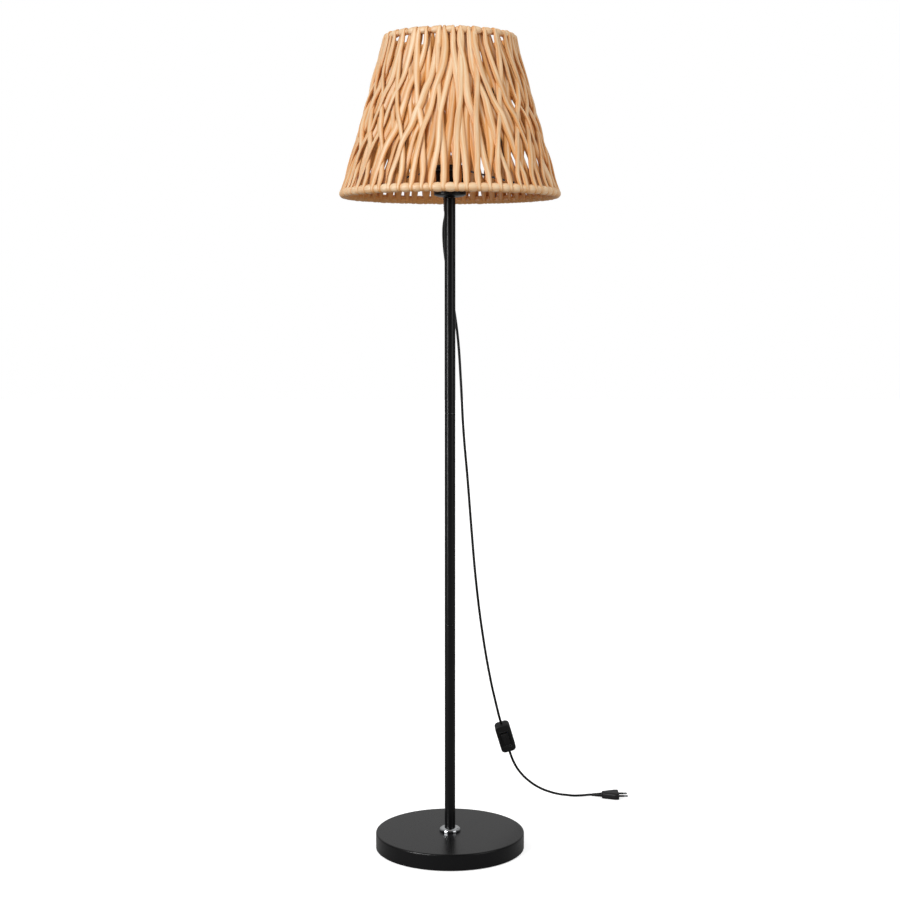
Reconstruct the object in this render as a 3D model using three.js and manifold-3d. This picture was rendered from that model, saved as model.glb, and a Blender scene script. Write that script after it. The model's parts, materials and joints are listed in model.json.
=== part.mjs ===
// Floor lamp with an open wound shade, in millimetres, +Z up.
// The origin is on the lamp's axis at the floor, +X to the right and +Y away from the viewer.
import * as THREE from 'three';
import { mergeVertices } from 'three/addons/utils/BufferGeometryUtils.js';
import Module from 'manifold-3d';

const wasm = await Module();
wasm.setup();

// Clearances shared by all pieces
const fitGap = 0.3; // between two pieces that touch or turn on each other
const overrun = 1; // how far a cutter runs past the face that it cuts
const weldDistance = 0.0001; // vertices closer than this are one vertex

// Base
const baseRadius = 140;
const baseHeight = 31;
const coverWall = 1.2;
const coverEdgeRadius = 2.5;
const coverFloorGap = 0.8;
const padThickness = 1.5;
const padInset = 4;
const nutPocketRadius = 17;
const nutPocketDepth = 12.5;
const studRadius = 4.9;
const nutAcrossFlats = 17;
const nutHeight = 8;
const baseWasherRadius = 13;
const baseWasherThickness = 2;
const studTail = 2; // the stud shows this much past its nut

// Collar at the foot of the pole
const collarRadius = 20;
const collarTopRadius = 12.5;
const collarHeight = 7.5;
const collarRimHeight = 2;

// Pole
const poleRadius = 10;
const poleWall = 1.2;
const poleLength = 1186;
const poleSections = 3;
const insertLength = 30;
const couplerLength = 50;
const couplerBoreRadius = 4;

// Cup under the shade
const cupRadius = 29.5;
const cupWall = 1;
const cupHeight = 47.4;
const domeRise = 5.5; // how far the cup's underside bulges below its wall
const nippleBoreRadius = 3;
const nippleGrip = 20; // length of the nipple inside the pole
const topWasherRadius = 10;
const topWasherThickness = 1.5;
const lockNutHeight = 4;

// Lamp holder inside the cup
const holderRadius = 19.5; // at the root of its thread
const threadDepth = 0.8; // the threads of the holder and its two rings are left out
const seatRingThickness = 2.5;
const holderWall = 2.2;
const holderBaseRadius = 19;
const holderBaseHeight = 15.6;
const holderBaseWall = 2;
const holderBaseSlope = 7.6; // height of the sloped lower part
const nippleBossRadius = 8.4;
const nippleBossHeight = 8;
const leadSlotWidth = 8;
const leadSlotDepth = 7;
const insulatorThickness = 8.7;
const insulatorFlange = 2;
const insulatorRadius = 16.9;
const skirtLip = 3; // thickness of the lip at the mouth of the skirt
const skirtMouthRadius = 14.4;
const shellRadius = 13.9; // screw shell for a 27 mm lamp cap
const shellWall = 0.6;
const shellRecess = 1.3; // the shell's edge lies this far below the mouth
const contactWidth = 5;
const contactThickness = 0.5;
const contactRise = 4;
const contactReach = 6.5;
const terminalRadius = 2.2;
const terminalHeadHeight = 1.6;
const terminalShankRadius = 1.3;
const terminalShankLength = 5;
const terminalSpread = 9; // each terminal's distance to the side of the leads' plane
const terminalForward = 6;
const leadRadius = 1.1;
const leadSpacing = 1.8;
const leadRise = 3.4;

// Gland where the cord leaves the cup
const glandX = -8.5;
const glandY = 17.6;
const glandNeckRadius = 4.6;
const glandFlangeRadius = 6.6;
const glandFlangeThickness = 1.6;
const glandTailRadius = 3.9;
const glandTipRadius = 3.1;
const glandTailLength = 22;

// Clamp ring and fitter plate
const fitterRadius = 31.5;
const fitterThickness = 2;
const clampRadius = 29;
const clampHeight = 8;
const clampLobes = 18;
const clampLobeDepth = 0.6;

// Shade
const shadeBottomRadius = 194.6; // centre of the bottom wire ring
const shadeTopRadius = 114.8;
const shadeHeight = 277.5; // between the centres of the two wire rings
const shadeDrop = 41; // the bottom ring's centre lies this far below the fitter plate
const ringWireRadius = 3;
const rimRadius = 7.2; // half the thickness of a wound rim
const strutRadius = 1.1;
const strutCount = 6;
const strutFirstAngle = 2.4;
const strutInset = ringWireRadius + fitGap + strutRadius; // the struts run along the inside of both rings
const armRadius = 1.8;
const armCount = 3;
const armFirstAngle = 90;
const strandFeet = 56;
const strandWidth = 7.6;
const strandThickness = 4;
const outerLift = 5.4; // the outer strands' centres lie this far outside the ring centres
const innerLift = 0.5;
const strandShiftFeet = 4; // each strand moves round by this many feet from bottom to top
const strandEase = 0.35; // share of the lean that both ends of a strand lose
const strandSteps = 3;

// Cord
const cordRadius = 2.4;
const cordSides = 8;
const upperCordSteps = 60;
const lowerCordSteps = 20;

// In-line switch
const switchLength = 62;
const switchWidth = 29.5;
const switchThickness = 20;
const switchCornerRadius = 8;
const switchBevel = 2.5;
const switchWall = 2.4;
const rockerLength = 27.4;
const rockerWidth = 13.6;
const rockerDish = 1.4;
const rockerProud = 1.8; // the rocker's ends stand this far above the face
const rockerDepth = 5;
const rockerPlay = 1.25; // free space at each end of the rocker
const rockerTilt = 8; // to each side of level
const pinRadius = 1;
const pinDepth = 4.6; // pin centre below the face
const earThickness = 2.6;
const earLength = 6;
const earDrop = 3;
const springContactWidth = 6;
const springContactLength = 13;
const springContactThickness = 0.8;
const springContactStem = 2;
const fixedContactLength = 10;
const fixedContactWidth = 6;
const fixedContactSpread = 19;
const coreRadius = 1.1;
const clampBarLength = 4;
const clampBarWidth = 9.4;
const clampBarHeight = 3;
const clampBarInset = 5.5;
const screwRadius = 1.4;
const screwHeadRadius = 2.6;
const screwHeadHeight = 1.8;
const screwLength = 11;
const screwBossRadius = 3.4;
const screwInset = 6.3;

// Plug
const plugLength = 35;
const plugFaceWidth = 35.3;
const plugTailWidth = 15;
const plugThickness = 13.7;
const plugBevel = 1.5;
const plugShoulder = 9; // length of the straight part behind the pin face
const plugPinRadius = 2;
const plugPinLength = 19;
const plugPinSpacing = 18.6;
const reliefLength = 20;
const reliefRootRadius = 5;
const reliefTipRadius = 3.2;

// Facets
const baseSides = 48;
const poleSides = 16;
const cupSides = 24;
const holderSides = 16;
const smallSides = 12;
const wireSides = 5;
const arcSteps = 2;

// Heights, from the floor up
const poleFoot = baseHeight + fitGap;
const poleTop = poleFoot + poleLength;
const cupFloor = poleTop + fitGap;
const cupTop = cupFloor + cupHeight;
const cupInnerRadius = cupRadius - cupWall;
const topWasherZ = cupFloor + cupWall + 2 * fitGap;
const lockNutZ = topWasherZ + topWasherThickness + fitGap;
const holderBaseZ = lockNutZ + lockNutHeight + fitGap;
const insulatorZ = holderBaseZ + holderBaseHeight + fitGap;
const skirtZ = insulatorZ + insulatorFlange + fitGap;
const fitterZ = cupTop + fitGap;
const clampZ = fitterZ + fitterThickness + fitGap;
const mouthZ = clampZ + clampHeight - fitGap;
const shadeBottomZ = fitterZ - shadeDrop;
const shadeTopZ = shadeBottomZ + shadeHeight;

// Colours and finishes
const blackPaint = { color: 0x1c1c1d, roughness: 0.5, metalness: 0.2 };
const blackPlastic = { color: 0x1a1a1a, roughness: 0.45, metalness: 0 };
const chrome = { color: 0xd8dadc, roughness: 0.12, metalness: 1 };
const zincSteel = { color: 0xa9adb0, roughness: 0.4, metalness: 1 };
const concrete = { color: 0x8d8b86, roughness: 0.9, metalness: 0 };
const brass = { color: 0xc9a455, roughness: 0.35, metalness: 1 };
const feltPad = { color: 0x151515, roughness: 0.95, metalness: 0 };
const rattan = { color: 0xe3bd90, roughness: 0.7, metalness: 0 };
const cordSheath = { color: 0x161616, roughness: 0.6, metalness: 0 };
const blueCore = { color: 0x2a5fa8, roughness: 0.6, metalness: 0 };
const brownCore = { color: 0x6a4126, roughness: 0.6, metalness: 0 };

const degree = Math.PI / 180;

// A closed geometry as a solid whose faces point outward.
function solidOf(geometry) {
  const bare = geometry.clone();
  bare.deleteAttribute('normal');
  bare.deleteAttribute('uv');
  const merged = mergeVertices(bare, weldDistance);
  const triangles = [];
  for (let i = 0; i < merged.index.count; i += 3) {
    const [a, b, c] = merged.index.array.slice(i, i + 3);
    if (a !== b && b !== c && c !== a) triangles.push([a, b, c]);
  }
  const vertProperties = new Float32Array(merged.attributes.position.array);
  const build = (order) =>
    new wasm.Manifold(
      new wasm.Mesh({ numProp: 3, vertProperties, triVerts: new Uint32Array(triangles.flatMap(order)) }),
    );
  const made = build(([a, b, c]) => [a, b, c]);
  return made.volume() > 0 ? made : build(([a, b, c]) => [a, c, b]);
}

// The geometry of a solid, with one normal for each face.
function geometryOf(solid) {
  const mesh = solid.getMesh();
  const positions = new Float32Array(mesh.numVert * 3);
  for (let i = 0; i < mesh.numVert; i += 1) {
    positions.set(mesh.vertProperties.subarray(i * mesh.numProp, i * mesh.numProp + 3), i * 3);
  }
  const indexed = new THREE.BufferGeometry();
  indexed.setAttribute('position', new THREE.BufferAttribute(positions, 3));
  indexed.setIndex(new THREE.BufferAttribute(mesh.triVerts, 1));
  const geometry = indexed.toNonIndexed();
  geometry.computeVertexNormals();
  return geometry;
}

function piece(name, solid, finish) {
  const mesh = new THREE.Mesh(geometryOf(solid), new THREE.MeshStandardMaterial(finish));
  mesh.name = name;
  return mesh;
}

// A body of revolution about +Z. The outline is a loop of [radius, height] points, open only at the axis.
function turned(outline, sides) {
  const onAxis = outline[0][0] === 0 && outline.at(-1)[0] === 0;
  const loop = onAxis ? outline : [...outline, outline[0]];
  const points = loop.map(([radius, height]) => new THREE.Vector2(radius, height));
  return solidOf(new THREE.LatheGeometry(points, sides).rotateX(Math.PI / 2));
}

// A tube wall about +Z between two radii and two heights.
function sleeve(inner, outer, low, high, sides) {
  return turned([[inner, low], [outer, low], [outer, high], [inner, high]], sides);
}

// A solid cylinder about +Z.
function disc(radius, low, high, sides) {
  return turned([[0, low], [radius, low], [radius, high], [0, high]], sides);
}

// Points of a circle's arc in the outline plane, angles in degrees from the radius axis.
function arc(centreRadius, centreHeight, radius, from, to, steps) {
  return Array.from({ length: steps + 1 }, (_, i) => {
    const angle = (from + ((to - from) * i) / steps) * degree;
    return [centreRadius + radius * Math.cos(angle), centreHeight + radius * Math.sin(angle)];
  });
}

// A ring about +Z with a round section. Its flats, not its corners, lie at the feet of the strands.
function hoop(radius, height, sectionRadius, sides) {
  const section = arc(radius, height, sectionRadius, 0, 360, sides).slice(0, -1);
  return turned(section, strandFeet).rotate([0, 0, 180 / strandFeet]);
}

// A straight round bar between two points.
function rod(from, to, radius, sides) {
  const length = from.distanceTo(to);
  const bar = new THREE.CylinderGeometry(radius, radius, length, sides);
  const up = new THREE.Vector3(0, 1, 0);
  const along = to.clone().sub(from).normalize();
  bar.applyQuaternion(new THREE.Quaternion().setFromUnitVectors(up, along));
  const middle = from.clone().lerp(to, 0.5);
  return solidOf(bar.translate(middle.x, middle.y, middle.z));
}

// A flat outline drawn in X and Y and carried up from low to high.
function prism(shape, low, high, bevel = 0) {
  const geometry = new THREE.ExtrudeGeometry(shape, {
    depth: high - low - 2 * bevel,
    bevelEnabled: bevel > 0,
    bevelSize: bevel,
    bevelThickness: bevel,
    bevelOffset: -bevel,
    bevelSegments: 2,
    curveSegments: arcSteps,
    steps: 1,
  });
  return solidOf(geometry.translate(0, 0, low + bevel));
}

function box(length, width, low, high) {
  const middle = (low + high) / 2;
  return solidOf(new THREE.BoxGeometry(length, width, high - low).translate(0, 0, middle));
}

function roundedRectangle(length, width, radius) {
  const x = length / 2;
  const y = width / 2;
  const shape = new THREE.Shape();
  shape.absarc(x - radius, y - radius, radius, 0, Math.PI / 2, false);
  shape.absarc(-x + radius, y - radius, radius, Math.PI / 2, Math.PI, false);
  shape.absarc(-x + radius, -y + radius, radius, Math.PI, 1.5 * Math.PI, false);
  shape.absarc(x - radius, -y + radius, radius, 1.5 * Math.PI, 2 * Math.PI, false);
  shape.closePath();
  return shape;
}

function polygonShape(points) {
  return new THREE.Shape(points.map(([x, y]) => new THREE.Vector2(x, y)));
}

// A round section carried along a smooth curve through the points.
function tubeAlong(points, radius, sides, steps) {
  const corners = Array.from({ length: sides }, (_, i) => {
    const angle = (i / sides) * 2 * Math.PI;
    return [radius * Math.cos(angle), radius * Math.sin(angle)];
  });
  const extrudePath = new THREE.CatmullRomCurve3(points, false, 'centripetal');
  const section = polygonShape(corners);
  return solidOf(new THREE.ExtrudeGeometry(section, { steps, extrudePath, bevelEnabled: false }));
}

function union(solids) {
  return solids.reduce((sum, next) => sum.add(next));
}

function hexNut(acrossFlats, boreRadius, low, high) {
  const cornerRadius = acrossFlats / 2 / Math.cos(Math.PI / 6);
  const bore = disc(boreRadius, low - overrun, high + overrun, smallSides);
  return disc(cornerRadius, low, high, 6).subtract(bore);
}

// Base: pressed cover filled with concrete, pad, stud, washer and nut, and the chrome collar on top.

function makeBase() {
  const boreRadius = studRadius + fitGap;
  const innerRadius = baseRadius - coverWall;
  const innerTop = baseHeight - coverWall;
  const innerEdge = coverEdgeRadius - coverWall;
  const cover = turned([
    [boreRadius, baseHeight],
    ...arc(baseRadius - coverEdgeRadius, baseHeight - coverEdgeRadius, coverEdgeRadius, 90, 0, arcSteps),
    [baseRadius, coverFloorGap],
    [innerRadius, coverFloorGap],
    ...arc(innerRadius - innerEdge, innerTop - innerEdge, innerEdge, 0, 90, arcSteps),
    [boreRadius, innerTop],
  ], baseSides);

  const ballastLow = padThickness + fitGap;
  const ballastTop = innerTop - fitGap;
  const ballastRadius = innerRadius - fitGap;
  const pocketTop = ballastLow + nutPocketDepth;
  const ballast = turned([
    [boreRadius, ballastTop],
    [ballastRadius - innerEdge, ballastTop],
    [ballastRadius, ballastTop - innerEdge],
    [ballastRadius, ballastLow],
    [nutPocketRadius, ballastLow],
    [nutPocketRadius, pocketTop],
    [boreRadius, pocketTop],
  ], baseSides);

  const pad = sleeve(nutPocketRadius + overrun, ballastRadius - padInset, 0, padThickness, baseSides);
  const washerTop = pocketTop - fitGap;
  const washerLow = washerTop - baseWasherThickness;
  const washer = sleeve(boreRadius, baseWasherRadius, washerLow, washerTop, smallSides);
  const nutTop = washerLow - fitGap;
  const nutLow = nutTop - nutHeight;
  const nut = hexNut(nutAcrossFlats, boreRadius, nutLow, nutTop);
  const stud = disc(studRadius, nutLow - studTail, poleFoot + insertLength, smallSides);

  const collarBore = poleRadius + fitGap;
  const rimTop = poleFoot + collarRimHeight;
  const crownTop = poleFoot + collarHeight;
  const crown = (share) => {
    const angle = share * 90 * degree;
    const reach = collarRadius - collarTopRadius;
    return [collarTopRadius + reach * Math.cos(angle), rimTop + (crownTop - rimTop) * Math.sin(angle)];
  };
  const crownShares = [0, 0.25, 0.5, 0.75, 1];
  const collar = turned([
    [collarBore, poleFoot],
    [collarRadius, poleFoot],
    ...crownShares.map(crown),
    [collarBore, crownTop],
  ], cupSides);

  return [
    piece('base_cover', cover, blackPaint),
    piece('base_ballast', ballast, concrete),
    piece('base_pad', pad, feltPad),
    piece('base_washer', washer, zincSteel),
    piece('base_nut', nut, zincSteel),
    piece('base_stud', stud, zincSteel),
    piece('foot_collar', collar, chrome),
  ];
}

// Pole: equal tubes joined by couplers, with a threaded insert at each end.

function makePole() {
  const names = ['pole_lower', 'pole_middle', 'pole_upper'];
  const couplerNames = ['lower_coupler', 'upper_coupler'];
  const bore = poleRadius - poleWall;
  const plugRadius = bore - fitGap;
  const sectionLength = (poleLength - (poleSections - 1) * fitGap) / poleSections;
  const pieces = [];
  for (let i = 0; i < poleSections; i += 1) {
    const low = poleFoot + i * (sectionLength + fitGap);
    const high = low + sectionLength;
    const tube = sleeve(bore, poleRadius, low, high, poleSides);
    pieces.push(piece(names[i] ?? `pole_${i + 1}`, tube, blackPaint));
    if (i + 1 < poleSections) {
      const joint = high + fitGap / 2;
      const reach = couplerLength / 2;
      const coupler = sleeve(couplerBoreRadius, plugRadius, joint - reach, joint + reach, poleSides);
      pieces.push(piece(couplerNames[i] ?? `coupler_${i + 1}`, coupler, zincSteel));
    }
  }
  const threadRadius = studRadius + fitGap;
  const footLow = poleFoot + fitGap;
  const footInsert = sleeve(threadRadius, plugRadius, footLow, footLow + insertLength, poleSides);
  const topInsert = sleeve(threadRadius, plugRadius, poleTop - insertLength, poleTop - fitGap, poleSides);
  pieces.push(piece('foot_insert', footInsert, zincSteel));
  pieces.push(piece('top_insert', topInsert, zincSteel));
  return pieces;
}

// Height of the cup's underside at a radius, for a dome of the given outer radius that starts at low.
function domeHeight(radius, outerRadius, low) {
  const share = Math.min(radius / outerRadius, 1);
  return low + domeRise * (1 - Math.sqrt(1 - share * share));
}

// The dome from its bore to its edge as outline points.
function domeOutline(bore, outerRadius, low) {
  const domeShares = [0, 0.45, 0.75, 0.92, 1];
  return domeShares.map((share) => {
    const radius = bore + (outerRadius - bore) * share;
    return [radius, domeHeight(radius, outerRadius, low)];
  });
}

// Cup: a spun can with a domed underside, open at the top.

function makeCup() {
  const bore = studRadius + fitGap;
  const outside = domeOutline(bore, cupRadius, cupFloor);
  const inside = domeOutline(bore, cupInnerRadius, cupFloor + cupWall);
  const can = turned([
    ...outside,
    [cupRadius, cupTop],
    [cupInnerRadius, cupTop],
    ...inside.reverse(),
  ], cupSides);
  const holeLow = cupFloor - overrun;
  const holeHigh = cupFloor + domeRise + cupWall + overrun;
  const hole = disc(glandNeckRadius + fitGap, holeLow, holeHigh, smallSides).translate([glandX, glandY, 0]);

  const washer = sleeve(bore, topWasherRadius, topWasherZ, topWasherZ + topWasherThickness, smallSides);
  const lockNut = hexNut(nutAcrossFlats, bore, lockNutZ, lockNutZ + lockNutHeight);
  const nippleTop = holderBaseZ + nippleBossHeight;
  const nipple = sleeve(nippleBoreRadius, studRadius, poleTop - nippleGrip, nippleTop, smallSides);

  return [
    piece('holder_cup', can.subtract(hole), blackPaint),
    piece('cup_washer', washer, zincSteel),
    piece('lock_nut', lockNut, zincSteel),
    piece('threaded_nipple', nipple, zincSteel),
    piece('cord_gland', makeGland(), blackPlastic),
  ];
}

// Moulded gland with a groove that follows the cup's domed wall, and a tapered tail for the cord.

const glandReach = Math.hypot(glandX, glandY);
const glandTopZ = domeHeight(glandReach + glandFlangeRadius, cupInnerRadius, cupFloor + cupWall)
  + fitGap + glandFlangeThickness;
const glandBottomZ = domeHeight(glandReach - glandFlangeRadius, cupRadius, cupFloor)
  - fitGap - glandFlangeThickness;
const glandTipZ = glandBottomZ - glandTailLength;

function makeGland() {
  const flanges = disc(glandFlangeRadius, glandBottomZ, glandTopZ, smallSides).translate([glandX, glandY, 0]);
  const groove = turned([
    ...domeOutline(0, cupRadius, cupFloor - fitGap),
    ...domeOutline(0, cupInnerRadius, cupFloor + cupWall + fitGap).reverse(),
  ], cupSides);
  const stem = turned([
    [0, glandTopZ],
    [glandNeckRadius, glandTopZ],
    [glandNeckRadius, glandBottomZ],
    [glandTailRadius, glandBottomZ],
    [glandTipRadius, glandTipZ],
    [0, glandTipZ],
  ], smallSides).translate([glandX, glandY, 0]);
  return flanges.subtract(groove).add(stem);
}

// Lamp holder: base, insulator with its contacts, screw shell, skirt and the lower of its two rings.

function makeHolder() {
  const bore = studRadius + fitGap;
  const wall = holderBaseWall;
  const slopeTop = holderBaseZ + holderBaseSlope;
  const slopeFoot = holderBaseRadius - holderBaseSlope;
  const rim = holderBaseZ + holderBaseHeight;
  const bossTop = holderBaseZ + nippleBossHeight;
  const shell = turned([
    [bore, holderBaseZ],
    [slopeFoot, holderBaseZ],
    [holderBaseRadius, slopeTop],
    [holderBaseRadius, rim],
    [holderBaseRadius - wall, rim],
    [holderBaseRadius - wall, slopeTop],
    [slopeFoot - wall / 2, holderBaseZ + wall],
    [nippleBossRadius, holderBaseZ + wall],
    [nippleBossRadius, bossTop],
    [bore, bossTop],
  ], holderSides);
  const towardGland = Math.atan2(glandY, glandX);
  const slotReach = holderBaseRadius;
  const slot = box(slotReach, leadSlotWidth, rim - leadSlotDepth, rim + overrun)
    .translate([slotReach, 0, 0])
    .rotate([0, 0, towardGland / degree]);

  const insulatorTop = insulatorZ + insulatorThickness;
  const flangeRadius = holderBaseRadius - fitGap;
  const flangeTop = insulatorZ + insulatorFlange;
  const insulatorBody = turned([
    [0, insulatorZ],
    [flangeRadius, insulatorZ],
    [flangeRadius, flangeTop],
    [insulatorRadius, flangeTop],
    [insulatorRadius, insulatorTop],
    [0, insulatorTop],
  ], holderSides);

  const along = new THREE.Vector2(Math.cos(towardGland), Math.sin(towardGland));
  const across = new THREE.Vector2(-along.y, along.x);
  const place = (forward, side) => [
    along.x * forward + across.x * side,
    along.y * forward + across.y * side,
  ];
  const headTop = insulatorZ - fitGap;
  const headLow = headTop - terminalHeadHeight;
  const shankTop = insulatorZ + terminalShankLength;
  const terminal = (side) => {
    const screw = turned([
      [0, headLow],
      [terminalRadius, headLow],
      [terminalRadius, headTop],
      [terminalShankRadius, headTop],
      [terminalShankRadius, shankTop],
      [0, shankTop],
    ], smallSides);
    const [x, y] = place(terminalForward, side * terminalSpread);
    return screw.translate([x, y, 0]);
  };
  const boreFor = (side) => {
    const [x, y] = place(terminalForward, side * terminalSpread);
    const drill = disc(terminalShankRadius + fitGap, insulatorZ - overrun, shankTop + fitGap, smallSides);
    return drill.translate([x, y, 0]);
  };

  const lead = (side) => {
    const gland = place(glandReach, side * leadSpacing);
    const outside = (glandReach + holderBaseRadius + cupInnerRadius) / 3;
    const bend = place(outside, side * leadSpacing);
    const gate = place(holderBaseRadius - wall, side * leadSpacing);
    const [endX, endY] = place(terminalForward, side * terminalSpread);
    const gateZ = rim - leadSlotDepth / 2;
    const endZ = headLow - fitGap - leadRadius;
    return tubeAlong([
      new THREE.Vector3(gland[0], gland[1], glandTopZ + fitGap),
      new THREE.Vector3(gland[0], gland[1], glandTopZ + leadRise),
      new THREE.Vector3(bend[0], bend[1], slopeTop),
      new THREE.Vector3(gate[0], gate[1], gateZ),
      new THREE.Vector3(endX, endY, endZ),
    ], leadRadius, wireSides, smallSides);
  };

  const skirtInner = holderRadius - holderWall;
  const skirt = turned([
    [skirtInner, skirtZ],
    [holderRadius, skirtZ],
    [holderRadius, mouthZ],
    [skirtMouthRadius, mouthZ],
    [skirtMouthRadius, mouthZ - skirtLip],
    [skirtInner, mouthZ - skirtLip],
  ], cupSides);

  // The seat ring closes the cup and carries the fitter plate from below.
  const seatLow = cupTop - seatRingThickness;
  const seatRing = sleeve(holderRadius + threadDepth, cupInnerRadius - fitGap, seatLow, cupTop, cupSides);

  const shellLow = insulatorTop + fitGap;
  const shellTop = mouthZ - shellRecess;
  const screwShell = sleeve(shellRadius - shellWall, shellRadius, shellLow, shellTop, holderSides);

  const contactLow = insulatorTop + fitGap;
  const tongueHigh = contactLow + contactRise;
  const tongue = polygonShape([
    [-contactReach, contactLow],
    [-contactReach / 2, contactLow],
    [0, tongueHigh],
    [contactReach / 2, tongueHigh],
    [contactReach / 2, tongueHigh + contactThickness],
    [-contactThickness, tongueHigh + contactThickness],
    [-contactReach / 2 - contactThickness, contactLow + contactThickness],
    [-contactReach, contactLow + contactThickness],
  ]);
  const contact = prism(tongue, -contactWidth / 2, contactWidth / 2).rotate([90, 0, 0]);

  return [
    piece('holder_base', shell.subtract(slot), blackPlastic),
    piece('holder_insulator', insulatorBody.subtract(boreFor(1)).subtract(boreFor(-1)), blackPlastic),
    piece('terminal_screw_live', terminal(1), brass),
    piece('terminal_screw_neutral', terminal(-1), brass),
    piece('lead_live', lead(1), brownCore),
    piece('lead_neutral', lead(-1), blueCore),
    piece('holder_skirt', skirt, blackPlastic),
    piece('seat_ring', seatRing, blackPlastic),
    piece('screw_shell', screwShell, brass),
    piece('centre_contact', contact, brass),
  ];
}

// Clamp ring: a lobed ring that screws down over the fitter plate.

function makeClampRing() {
  const points = [];
  const stepsPerLobe = 3;
  for (let i = 0; i < clampLobes * stepsPerLobe; i += 1) {
    const angle = (i / (clampLobes * stepsPerLobe)) * 2 * Math.PI;
    const dip = i % stepsPerLobe === 0 ? clampLobeDepth : 0;
    points.push([(clampRadius - dip) * Math.cos(angle), (clampRadius - dip) * Math.sin(angle)]);
  }
  const blank = prism(polygonShape(points), clampZ, clampZ + clampHeight);
  const boreRadius = holderRadius + threadDepth;
  const bore = disc(boreRadius, clampZ - overrun, clampZ + clampHeight + overrun, cupSides);
  return piece('clamp_ring', blank.subtract(bore), blackPlastic);
}

// Shade frame: fitter plate, arms, struts and two wire rings. The welds between them are left out.

const shadeSlope = Math.atan2(shadeBottomRadius - shadeTopRadius, shadeHeight);

// A point at an angle, at a share of the way from the bottom ring to the top ring, lifted off the cone.
function conePoint(angle, share, lift) {
  const ringRadius = shadeBottomRadius + (shadeTopRadius - shadeBottomRadius) * share;
  const radius = ringRadius + lift * Math.cos(shadeSlope);
  const height = shadeBottomZ + shadeHeight * share + lift * Math.sin(shadeSlope);
  return new THREE.Vector3(radius * Math.cos(angle), radius * Math.sin(angle), height);
}

function evenAngles(count, first) {
  return Array.from({ length: count }, (_, i) => (first + (i * 360) / count) * degree);
}

function strutBar(angle, radius) {
  return rod(conePoint(angle, 0, -strutInset), conePoint(angle, 1, -strutInset), radius, wireSides);
}

function armBar(angle, radius) {
  const middle = fitterZ + fitterThickness / 2;
  const inner = new THREE.Vector3(fitterRadius * Math.cos(angle), fitterRadius * Math.sin(angle), middle);
  return rod(inner, conePoint(angle, 0, 0), radius, wireSides);
}

function makeFrame() {
  const bore = holderRadius + threadDepth + fitGap;
  const plate = sleeve(bore, fitterRadius, fitterZ, fitterZ + fitterThickness, cupSides);
  const plateReach = armRadius + overrun;
  const plateSpace = disc(
    fitterRadius + fitGap, fitterZ - plateReach, fitterZ + fitterThickness + plateReach, cupSides,
  );
  const wireSpace = hoop(shadeBottomRadius, shadeBottomZ, ringWireRadius + fitGap, wireSides);
  const arms = evenAngles(armCount, armFirstAngle).map((angle, i) => {
    const arm = armBar(angle, armRadius).subtract(plateSpace).subtract(wireSpace);
    return piece(`shade_arm_${i + 1}`, arm, blackPaint);
  });
  const struts = evenAngles(strutCount, strutFirstAngle).map((angle, i) => (
    piece(`shade_strut_${i + 1}`, strutBar(angle, strutRadius), blackPaint)
  ));
  return [
    piece('fitter_plate', plate, blackPaint),
    ...arms,
    ...struts,
    piece('bottom_wire', hoop(shadeBottomRadius, shadeBottomZ, ringWireRadius, wireSides), blackPaint),
    piece('top_wire', hoop(shadeTopRadius, shadeTopZ, ringWireRadius, wireSides), blackPaint),
  ];
}

// Weave: two layers of strands that cross each other, lofted in one skin with the two wound rims.
// Two flats of a rim's section, the first pair of its points and the next, carry the strands' feet.
const rimSectionShares = [
  [1.05, 0.35], [0.38, 0.8], [-0.35, 0.85], [-0.9, 0.4],
  [-0.9, -0.4], [-0.3, -0.95], [0.6, -0.9], [1.05, -0.3],
];
const strandSectionShares = [[-0.8, 1], [-1, -1], [1, -1], [0.8, 1]];
const strandLayers = [
  { flat: 0, lift: outerLift, shiftFeet: -strandShiftFeet },
  { flat: 1, lift: innerLift, shiftFeet: strandShiftFeet },
];
const footPitch = (2 * Math.PI) / strandFeet;

// A point of a rim's section, given as shares of the rim's radius off the cone and toward the other rim.
function rimPoint(angle, end, [liftShare, inwardShare]) {
  const point = conePoint(angle, end, liftShare * rimRadius);
  const inward = conePoint(angle, 1 - end, 0).sub(conePoint(angle, end, 0)).normalize();
  return point.addScaledVector(inward, inwardShare * rimRadius);
}

// The corner loops of one strand from rim to rim. It leans most at half height and least at both rims,
// and its end loops are slid along it onto the flats that it stands on.
function strandLoops(foot, { lift, shiftFeet }, endPlanes) {
  const at = (share) => {
    const eased = share - (strandEase * Math.sin(2 * Math.PI * share)) / (2 * Math.PI);
    return conePoint((foot + shiftFeet * eased) * footPitch, share, lift);
  };
  const nudge = 1 / (strandSteps * strandSteps);
  return Array.from({ length: strandSteps + 1 }, (_, step) => {
    const share = step / strandSteps;
    const centre = at(share);
    const outward = new THREE.Vector3(centre.x, centre.y, 0).normalize();
    outward.multiplyScalar(Math.cos(shadeSlope)).setZ(Math.sin(shadeSlope));
    const tangent = at(share + nudge).sub(at(share - nudge)).normalize();
    const sideways = tangent.clone().cross(outward).normalize();
    const plane = step === 0 ? endPlanes[0] : step === strandSteps && endPlanes[1];
    return strandSectionShares.map(([acrossShare, throughShare]) => {
      const corner = centre.clone()
        .addScaledVector(sideways, (acrossShare * strandWidth) / 2)
        .addScaledVector(outward, (throughShare * strandThickness) / 2);
      if (plane) corner.addScaledVector(tangent, -plane.distanceToPoint(corner) / plane.normal.dot(tangent));
      return corner;
    });
  });
}

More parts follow.
